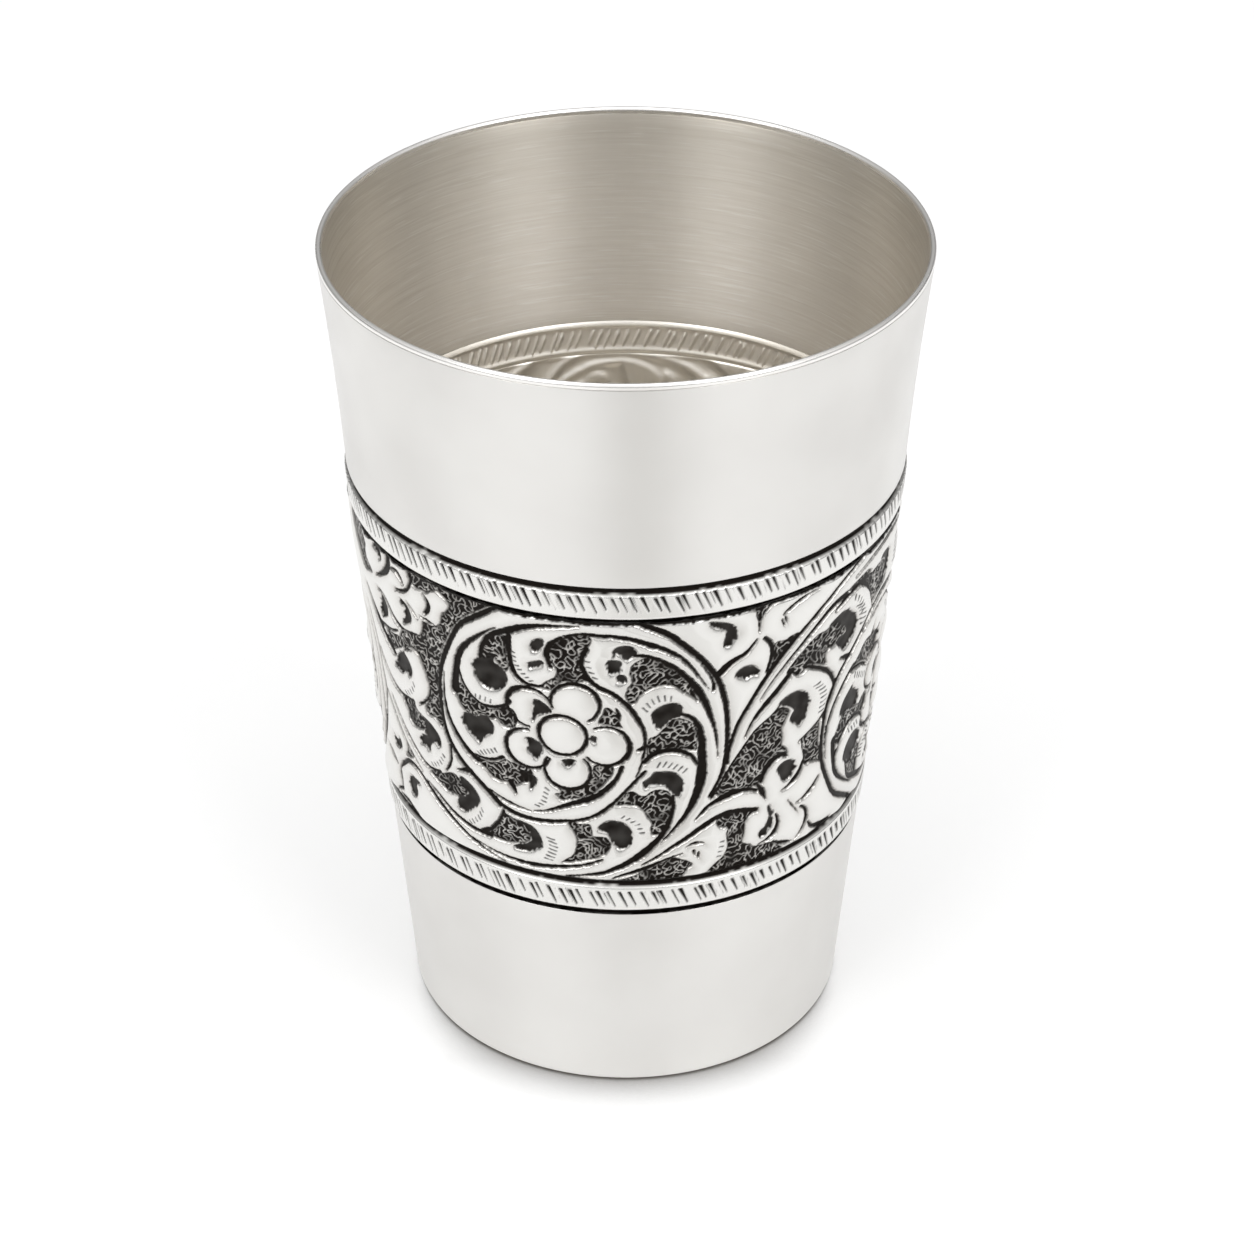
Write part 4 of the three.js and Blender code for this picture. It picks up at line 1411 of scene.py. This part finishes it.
@dataclass
class Frieze:
    """The chased band: four scrolls with a flower in each, turned over by turns, and leaves between them."""

    # layers of noise, each with its height, the size of a cell along and up, and its seed
    JAG = ((0.3, (0.32, 0.6), 3), (0.15, (0.9, 0.9), 4))  # ragged edge of a hollow
    WOBBLE = ((0.1, (0.8, 0.8), 5), (0.1, (0.36, 0.36), 9))  # unsteady hand beside a cut
    BEND_ALONG = ((0.3, (0.9, 0.9), 6),)
    BEND_UP = ((0.3, (0.9, 0.9), 7),)
    WORM_FADE = ((1.3, (2.0, 2.0), 10),)
    VEIL = ((0.06, (1.5, 1.5), 12),)  # film worn thin in the hollows
    WORM_SEED = 8
    LEAST_NORMAL = 1e-12  # keeps a face of no size from dividing by zero

    wall: Wall
    foot: float = 31.9
    top: float = 68.8
    middle_radius: float = 30.5  # the ornament is measured along this radius
    pitch: float = 48.95  # from one scroll to the next, as drawn
    front: Pair = (-38.0, 26.0)  # the part that lies as drawn
    back_here: float = 93.0  # a place behind, and where it lies on the drawing
    back_drawn: float = 90.76
    droop: float = 1.8  # a scroll that is turned over sits this much lower
    panels: int = 8
    panel_columns: int = 208
    row_count: int = 321
    cut_gain: float = 1.5
    flower: Pair = (-7.14, 52.56)
    boss_radius: float = 2.78
    boss_points: int = 72
    boss_half: float = 0.25
    petal_radius: float = 2.74
    petal_reach: float = 4.98
    petal_angles: tuple[float, ...] = (72.0, 139.0, 213.0, 275.0, -12.0)
    petal_span: float = 128.0  # a petal's edge runs this many degrees either way from its tip
    petal_halves: tuple[float, float, float] = (0.15, 0.34, 0.15)
    low_relief: float = 0.08
    dome: float = 0.42
    dome_slope: float = 1.0
    cut_floor: float = -0.16
    ground_floor: float = -0.16
    hollow_floor: float = -0.2
    scoop_depth: float = 0.18  # the metal slopes down beside a hollow
    scoop_run: float = 0.6
    tick_depth: float = 0.06
    end_run: float = 0.3  # the relief flattens this near the ends of the band
    end_least: float = 0.2
    edge_soft: float = 0.13
    basin_soft: float = 0.5
    jag_in: float = 0.14
    tick_wobble: float = 0.6
    worm_height: float = 0.12
    worm_pitch: float = 0.74
    worm_half: float = 0.047
    worm_soft: float = 0.08
    worm_level: float = 0.78
    worm_least: float = 0.15
    worm_margin: float = 0.3
    worm_bright: float = 0.92
    veil_level: float = 0.97
    veil_least: float = 0.92
    tick_film: float = 0.9
    crest_film: float = 0.22  # black left along the top edge, beside the groove
    crest_wobble: float = 1.5
    foot_film: float = 0.1
    # grey beside the cuts and on the sloping scoops by the hollows: partly left oxide, partly painted shade
    grey_run: float = 0.42
    scoop_painted_shade: float = 0.9
    back_depth: float = -0.5  # where the back of the band lies, on average
    back_share: float = 0.85  # how much of the relief shows there
    back_blur: int = 6
    back_lap: float = 0.5  # it rests on the borders' tongues up to here
    back_end: float = -0.55  # it covers the borders' tongues from here
    back_run: float = 0.8  # height over which it comes to that

    def __post_init__(self) -> None:
        """Works out the grid of the unrolled band."""
        self.round = math.tau * self.middle_radius
        self.count = self.panels * self.panel_columns
        self.along = np.arange(self.count) * self.round / self.count - 0.5 * self.round
        self.heights = np.linspace(self.foot, self.top, self.row_count)

    def drawn_place(self) -> Array:
        """Places along the band as drawn: true at the front, a little stretched behind.

        Returns:
            For each column, where it lies on the drawing.
        """
        near, far = self.front
        drawn_round = 4 * self.pitch
        behind = (self.back_here, self.back_drawn)
        stops = [(far, far, -1), (*behind, -1), (near, near, 0), (far, far, 0), (*behind, 0)]
        stops += [(near, near, 1), (far, far, 1)]
        here = [place + lap * self.round for place, _, lap in stops]
        drawn = [place + lap * drawn_round for _, place, lap in stops]
        return np.interp(self.along, here, drawn)

    def turned_over(self, points: Array) -> Array:
        """Moves points of a scroll to the next one, which stands on its head.

        Args:
            points: Points of the upright scroll.

        Returns:
            The same points on the next scroll.
        """
        share = np.clip((points[:, 1] - self.foot) / (self.top - self.foot), 0, 1)
        up = self.foot + self.top - points[:, 1] - self.droop * np.sin(math.pi * share)
        return np.stack([points[:, 0] + self.pitch, up], axis=1)

    def flower_cuts(self, band: UnrolledBand, place: Placing) -> None:
        """Draws the boss and the five petals round it.

        Args:
            band: The band that takes them.
            place: Moves their points to where the flower stands.
        """
        x, y = self.flower
        reach = self.petal_reach
        ring = place(arc(self.flower, self.boss_radius, 0, 360, self.boss_points))
        band.line(Layer.CUT, ring, np.full(len(ring), self.boss_half))
        for angle in self.petal_angles:
            turn = math.radians(angle)
            middle = (x + reach * math.cos(turn), y + reach * math.sin(turn))
            edge = place(arc(middle, self.petal_radius, angle - self.petal_span, angle + self.petal_span))
            band.line(Layer.CUT, edge, spread(self.petal_halves, len(edge)))

    def drawing(self) -> UnrolledBand:
        """Draws the whole ornament.

        Returns:
            The band with every layer filled.
        """
        band = UnrolledBand(self.drawn_place(), self.heights)
        for turn in range(-2, 2):
            shift = np.array([2 * self.pitch * turn, 0.0])

            def upright(points: Array, shift: Array = shift) -> Array:
                """Places an upright motif."""
                return points + shift

            def inverted(points: Array, shift: Array = shift) -> Array:
                """Places a motif that stands on its head."""
                return self.turned_over(points) + shift

            for place in (upright, inverted):
                band.motif(SPIRAL, place, self.cut_gain)
                self.flower_cuts(band, place)
            band.motif(RIGHT_BRANCH, upright, self.cut_gain)
            band.motif(LEFT_BRANCH, upright, self.cut_gain)
        return band

    def relief(self) -> tuple[Array, Array, Array]:
        """Turns the drawing into heights, black film and the grey beside it, partly oxide and partly painted
        shade.

        Returns:
            Height above the plain wall, share of film and share of grey, each in rows round the cup.
        """
        layers = self.drawing().layers
        to_cut, to_ground, to_hollow = layers[Layer.CUT], layers[Layer.GROUND], layers[Layer.HOLLOW]
        along, up = np.meshgrid(self.along + 0.5 * self.round, self.heights)

        def noise(coats: tuple[tuple[float, Pair, int], ...]) -> Array:
            """Adds up layers of noise on the band's own grid."""
            return sum(high * lattice_noise(along, up, cell, self.round, seed) for high, cell, seed in coats)

        def within(distance: Array, soft: float = self.edge_soft) -> Array:
            """Share of a point that lies within an edge."""
            return np.clip(0.5 - distance / soft, 0, 1)

        jag = noise(self.JAG) - self.jag_in
        wobble = noise(self.WOBBLE)
        bent_along = (along + noise(self.BEND_ALONG)) % self.round
        bent_up = up + noise(self.BEND_UP)
        cell = (self.worm_pitch, self.worm_pitch)
        maze = np.abs(lattice_noise(bent_along, bent_up, cell, self.round, self.WORM_SEED))
        worm = 1 - np.clip((maze - self.worm_half) / self.worm_soft, 0, 1)
        worm = worm * np.clip(self.worm_level + noise(self.WORM_FADE), self.worm_least, 1)
        worm = worm * np.clip(-to_ground / self.worm_margin, 0, 1)
        veil = np.clip(self.veil_level + noise(self.VEIL), self.veil_least, 1)
        cut = within(to_cut + wobble)
        hollow = within(to_hollow + jag)
        basin = within(to_hollow, self.basin_soft)
        ground = within(to_ground + wobble)
        tick = within(layers[Layer.TICK] + self.tick_wobble * wobble)
        crest = within(self.top - up - self.crest_film + self.crest_wobble * wobble)
        sole = within(up - self.foot - self.foot_film + wobble)
        matted = ground * (1 - self.worm_bright * worm)
        film = np.maximum.reduce([cut, hollow * veil, matted, self.tick_film * tick, crest, sole])
        open_metal = np.clip(np.minimum.reduce([to_cut, to_ground, to_hollow]), 0, None)
        height = self.low_relief + self.dome * (1 - np.exp(-open_metal / self.dome_slope))
        scoop = np.exp(-np.clip(to_hollow, 0, None) / self.scoop_run)
        height = height - self.scoop_depth * scoop
        height = height * (1 - ground) + (self.ground_floor + self.worm_height * worm) * ground
        height = height * (1 - basin) + self.hollow_floor * basin
        height = height * (1 - cut) + self.cut_floor * cut - self.tick_depth * tick
        edge = np.minimum(self.heights - self.foot, self.top - self.heights)
        height = height * np.clip(edge / self.end_run, self.end_least, 1)[:, None]
        grey = np.maximum(np.exp(-open_metal / self.grey_run), self.scoop_painted_shade * scoop)
        return height, film, grey

    def surface(self, offset: Array, heights: Array, turn: Array) -> tuple[Array, Array]:
        """Wraps offsets round the cup.

        Args:
            offset: Distance from the plain wall, in rows round the cup.
            heights: Height of each row.
            turn: Angle of each column.

        Returns:
            Points and outward normals, in rows round the cup.
        """
        radius = self.wall.radius(heights)[:, None] + offset
        levels = np.repeat(heights[:, None], len(turn), axis=1)
        points = np.stack([radius * np.sin(turn), -radius * np.cos(turn), levels], axis=-1)
        around = np.roll(points, -1, axis=1) - np.roll(points, 1, axis=1)
        normals = np.cross(around, np.gradient(points, axis=0))
        return points, normals / np.linalg.norm(normals, axis=-1, keepdims=True)

    def make(self, finish: bpy.types.Material) -> None:
        """Makes the panels of the band.

        Args:
            finish: Their material.
        """
        height, film, grey = self.relief()
        turn = self.along / self.middle_radius
        front, front_normals = self.surface(height, self.heights, turn)
        soft = blurred(height, self.back_blur)[::2, ::2]
        heights = self.heights[::2]
        edge = np.minimum(heights - self.foot, self.top - heights)
        sunk = self.back_share * (soft - soft.mean()) + self.back_depth
        clear = np.clip((edge - self.back_lap) / self.back_run, 0, 1)[:, None]
        sunk = self.back_end + (sunk - self.back_end) * clear
        sunk[edge < self.back_lap] = -self.wall.groove_depth + self.wall.solder_gap
        back, back_normals = self.surface(sunk, heights, turn[::2])
        for panel in range(self.panels):
            columns = np.arange(self.panel_columns + 1) + panel * self.panel_columns
            fine = columns % self.count
            coarse = columns[::2] // 2 % (self.count // 2)
            points = (front[:, fine], back[:, coarse])
            piece = self.panel(panel, points, (front_normals[:, fine], back_normals[:, coarse]))
            hidden = np.zeros(points[1].shape[:2]).ravel()
            write_attribute(piece, "oxide", np.concatenate([film[:, fine].ravel(), hidden]))
            write_attribute(piece, "shade", np.concatenate([grey[:, fine].ravel(), hidden]))
            write_attribute(piece, "inside", np.concatenate([0 * film[:, fine].ravel(), 1 + hidden]))
            hand_over(piece, "frieze_band", finish)

    def panel(
        self, number: int, points: tuple[Array, Array], normals: tuple[Array, Array],
    ) -> bpy.types.Object:
        """Closes a chased front and a coarser back into one panel.

        Args:
            number: Number of the panel.
            points: Points of the front and of the back, in rows.
            normals: Their outward normals, in rows.

        Returns:
            The panel, with normals that run on into its neighbours.
        """
        front, back = points
        fine = np.arange(front.shape[0] * front.shape[1]).reshape(front.shape[:2])
        coarse = np.arange(back.shape[0] * back.shape[1]).reshape(back.shape[:2]) + fine.size
        quads = np.concatenate([grid_faces(fine), grid_faces(coarse)[:, ::-1]])
        walls = np.concatenate([
            zipped(fine[-1], coarse[-1]), zipped(fine[0], coarse[0])[:, ::-1],
            zipped(fine[:, 0], coarse[:, 0]), zipped(fine[:, -1], coarse[:, -1])[:, ::-1],
        ])
        every = np.concatenate([front.reshape(-1, 3), back.reshape(-1, 3)])
        piece = mesh_piece(f"frieze_panel_{number + 1}", every, quads, walls)
        smooth = np.concatenate([normals[0].reshape(-1, 3), -normals[1].reshape(-1, 3)])
        first, second, third = (every[walls[:, corner]] for corner in range(3))
        flat = np.cross(second - first, third - first)
        flat = flat / np.maximum(np.linalg.norm(flat, axis=1, keepdims=True), self.LEAST_NORMAL)
        corner_normals = np.concatenate([smooth[quads.ravel()], np.repeat(flat, 3, axis=0)])
        piece.data.normals_split_custom_set(corner_normals.astype(np.float32))
        return piece


def grid_faces(numbers: Array) -> Array:
    """Faces of a grid of points whose columns run round the cup and rows run up."""
    corners = [numbers[:-1, :-1], numbers[:-1, 1:], numbers[1:, 1:], numbers[1:, :-1]]
    return np.stack(corners, axis=-1).reshape(-1, 4)


def zipped(fine: Array, coarse: Array) -> Array:
    """Joins a line of points to one with half as many steps.

    Args:
        fine: Point numbers of the fine line.
        coarse: Point numbers of the coarse line.

    Returns:
        Corner numbers of the triangles between them.
    """
    a, b, c = fine[:-2:2], fine[1::2], fine[2::2]
    p, q = coarse[:-1], coarse[1:]
    return np.concatenate([np.stack(t, axis=1) for t in ((a, b, p), (b, q, p), (b, c, q))])


# Floor, light and camera


@dataclass
class Studio:
    """A white sweep, soft lamps and the camera at the photograph's viewing angle."""

    camera_place: tuple[float, float, float] = (0.0, -382.95, 291.1)
    camera_tilt: float = 32.40
    lens: float = 109.07
    sensor: float = 36.0
    shift: float = 0.001
    clip: Pair = (0.01, 20.0)
    floor_half: float = 1600.0
    floor_level: float = -0.02
    floor_colour: str = "#F0F0F0"
    floor_roughness: float = 0.9
    shadow_colour: str = "#6E6A66"
    shadow_reach: float = 9.0
    shadow_samples: int = 8
    shadow_dark: float = 0.2  # share of open air where the shadow is darkest
    shadow_white: Pair = (0.9, 0.52)  # and where it ends, in front of the cup and beside it
    shadow_span: Pair = (-22.0, -6.0)
    floor_glow: float = 0.18
    back_glow: float = 0.26  # what the silver sees of the floor behind the cup
    glow_span: Pair = (-150.0, 100.0)
    far_span: Pair = (320.0, 1000.0)  # the camera sees the floor glow more from here on
    streak_place: float = 16.0  # a soft grey streak before the cup, which only the silver sees
    streak_half: float = 64.0
    streak_share: float = 0.85
    streak_span: Pair = (-60.0, -100.0)
    streak_colour: str = "#E3E2E0"
    world_strength: float = 0.6
    horizon: float = 0.12
    horizon_span: Pair = (0.03, 0.4)
    back_wall: float = 0.48
    wall_span: Pair = (-0.3, 0.7)
    aim: tuple[float, float, float] = (0.0, 0.0, 50.0)

    def camera(self) -> None:
        """Sets the camera that was fitted to the photograph."""
        data = bpy.data.cameras.new("camera")
        data.lens = self.lens
        data.sensor_width = self.sensor
        data.shift_x = self.shift
        data.clip_start, data.clip_end = self.clip
        camera = bpy.data.objects.new("camera", data)
        camera.location = metres(self.camera_place)
        camera.rotation_euler = Euler((math.radians(90 - self.camera_tilt), 0, 0))
        bpy.context.scene.collection.objects.link(camera)
        bpy.context.scene.camera = camera

    def rays(self, add: Adding) -> tuple[Any, Any, Any]:
        """Tells rays that show a thing, from the camera, in metal or through glass, from those that light it.

        Args:
            add: Adds a node to the tree.

        Returns:
            Sockets that are 1 for a camera ray, for a glossy ray, and for any ray that shows a thing.
        """
        path = add("LightPath").node.outputs
        camera, glossy = path["Is Camera Ray"], path["Is Glossy Ray"]
        either = add("Math", camera, glossy, operation="MAXIMUM")
        return camera, glossy, add("Math", either, path["Is Transmission Ray"], operation="MAXIMUM")

    def floor(self) -> None:
        """Lays the white floor, which glows a little where it is seen so that it reads as white."""
        corners = [(x * self.floor_half, y * self.floor_half, self.floor_level) for x, y in SQUARE]
        floor = mesh_piece("studio_floor", np.array(corners), np.array([[0, 1, 2, 3]]))
        material, shader, add = blank("white_paper_sweep")
        camera, glossy, seen = self.rays(add)
        place = add("TexCoord", pick="Object")
        sideways, forward, _ = add("SeparateXYZ", place).node.outputs

        # a soft dark line where the cup stands, which only the camera sees
        reach = self.shadow_reach * MM
        near = add("AmbientOcclusion", pick="AO", Distance=reach, samples=self.shadow_samples)
        open_air = add("MapRange", forward, *metres(self.shadow_span), *self.shadow_white)
        lit = add("MapRange", near, self.shadow_dark, open_air, interpolation_type="SMOOTHSTEP")
        unseen = add("Math", 1.0, camera, operation="SUBTRACT")
        white = add("Math", lit, unseen, operation="MAXIMUM")
        paper = add("Mix", white, linear(self.shadow_colour), linear(self.floor_colour), data_type="RGBA")

        # the soft grey streak that the collar mirrors
        shift = add("Math", sideways, self.streak_place * MM, operation="SUBTRACT")
        aside = add("Math", shift, operation="ABSOLUTE")
        half = self.streak_half * MM
        across = add("MapRange", aside, 0.0, half, self.streak_share, 0.0, interpolation_type="SMOOTHSTEP")
        before = add("MapRange", forward, *metres(self.streak_span))
        soft = add("Math", across, before, operation="MULTIPLY")
        streak = add("Math", soft, glossy, operation="MULTIPLY")

        # the glow that keeps the paper white
        shown = add("Math", seen, white, operation="MULTIPLY")
        distance = add("VectorMath", place, operation="LENGTH")
        far = add("MapRange", distance, *metres(self.far_span), self.floor_glow, 1.0)
        behind = add("MapRange", forward, *metres(self.glow_span), self.floor_glow, self.back_glow)
        mirrored = add("MapRange", streak, 0.0, 1.0, behind, 0.0)
        lift = add("MapRange", camera, 0.0, 1.0, mirrored, far)
        feed(shader, {
            "Base Color": add("Mix", streak, paper, linear(self.streak_colour), data_type="RGBA"),
            "Roughness": self.floor_roughness,
            "Specular IOR Level": 0.0,
            "Emission Color": WHITE,
            "Emission Strength": add("Math", shown, lift, operation="MULTIPLY"),
        })
        floor.data.materials.append(material)

    def world(self) -> None:
        """Fills the room with soft light: white ceiling, dark skirting and a greyer wall behind the cup."""
        world = bpy.data.worlds.new("studio_room")
        bpy.context.scene.world = world
        world.use_nodes = True
        add = partial(put, world.node_tree)
        camera, _, seen = self.rays(add)
        _, deep, high = add("SeparateXYZ", add("TexCoord", pick="Generated")).node.outputs
        wall = add("MapRange", deep, *self.wall_span, 1.0, self.back_wall, interpolation_type="SMOOTHSTEP")
        room = add("MapRange", high, *self.horizon_span, self.horizon, wall, interpolation_type="SMOOTHSTEP")
        level = add("MapRange", seen, 0.0, 1.0, self.world_strength, room)
        feed(world.node_tree.nodes["Background"], {
            "Color": WHITE,
            "Strength": add("Math", level, camera, operation="MAXIMUM"),
        })

    def lamp(self, name: str, place: tuple[float, float, float], size: float, power: float) -> None:
        """Hangs a square soft lamp that points at the cup.

        Args:
            name: Name of the lamp.
            place: Where it hangs, in millimetres.
            size: Side of its face, in millimetres.
            power: Its power in watts.
        """
        data = bpy.data.lights.new(name, "AREA")
        data.shape = "SQUARE"
        data.size = size * MM
        data.energy = power
        lamp = bpy.data.objects.new(name, data)
        lamp.location = metres(place)
        x, y, z = np.array(self.aim) - np.array(place)
        tilt = math.atan2(math.hypot(x, y), -z)
        lamp.rotation_euler = Euler((tilt, 0, math.atan2(y, x) - math.pi / 2))
        bpy.context.scene.collection.objects.link(lamp)

    def set_up(self) -> None:
        """Builds the studio and leaves the view settings plain."""
        self.camera()
        self.floor()
        self.world()
        self.lamp("left_soft_box", (-490, -545, 560), 450, 1.85)
        self.lamp("right_soft_box", (490, -545, 560), 450, 1.9)
        self.lamp("top_soft_box", (0, 60, 900), 700, 2.4)
        bpy.context.scene.view_settings.view_transform = "Standard"


def main() -> None:
    """Builds the studio and every piece of the tumbler."""
    logging.basicConfig(level=logging.INFO, format="%(name)s: %(message)s")
    Studio().set_up()
    wall = Wall()
    satin = SatinSilver().material()
    polished = PolishedSilver().material()
    oxidised = OxidisedSilver().material()
    plain = PlainWalls(wall)
    plain.base(satin)
    plain.lower(satin)
    plain.collar(satin)
    plain.rim(polished)
    hatching = HatchTree()
    borders = (
        Border(
            wall, "lower_border", foot=26.65, top=31.9, low_line=27.0, low_half=0.28,
            high_line=31.32, high_half=0.24, stroke_foot=27.9, stroke_top=30.35,
            strokes=150, seed=11, frieze_above=True,
        ),
        Border(
            wall, "upper_border", foot=68.8, top=73.55, low_line=69.04, low_half=0.17,
            high_line=73.12, high_half=0.36, stroke_foot=70.15, stroke_top=72.55,
            strokes=172, seed=23, frieze_above=False,
        ),
    )
    for border in borders:
        border.make(hatching, oxidised)
    Frieze(wall).make(oxidised)


if __name__ == "__main__":
    main()
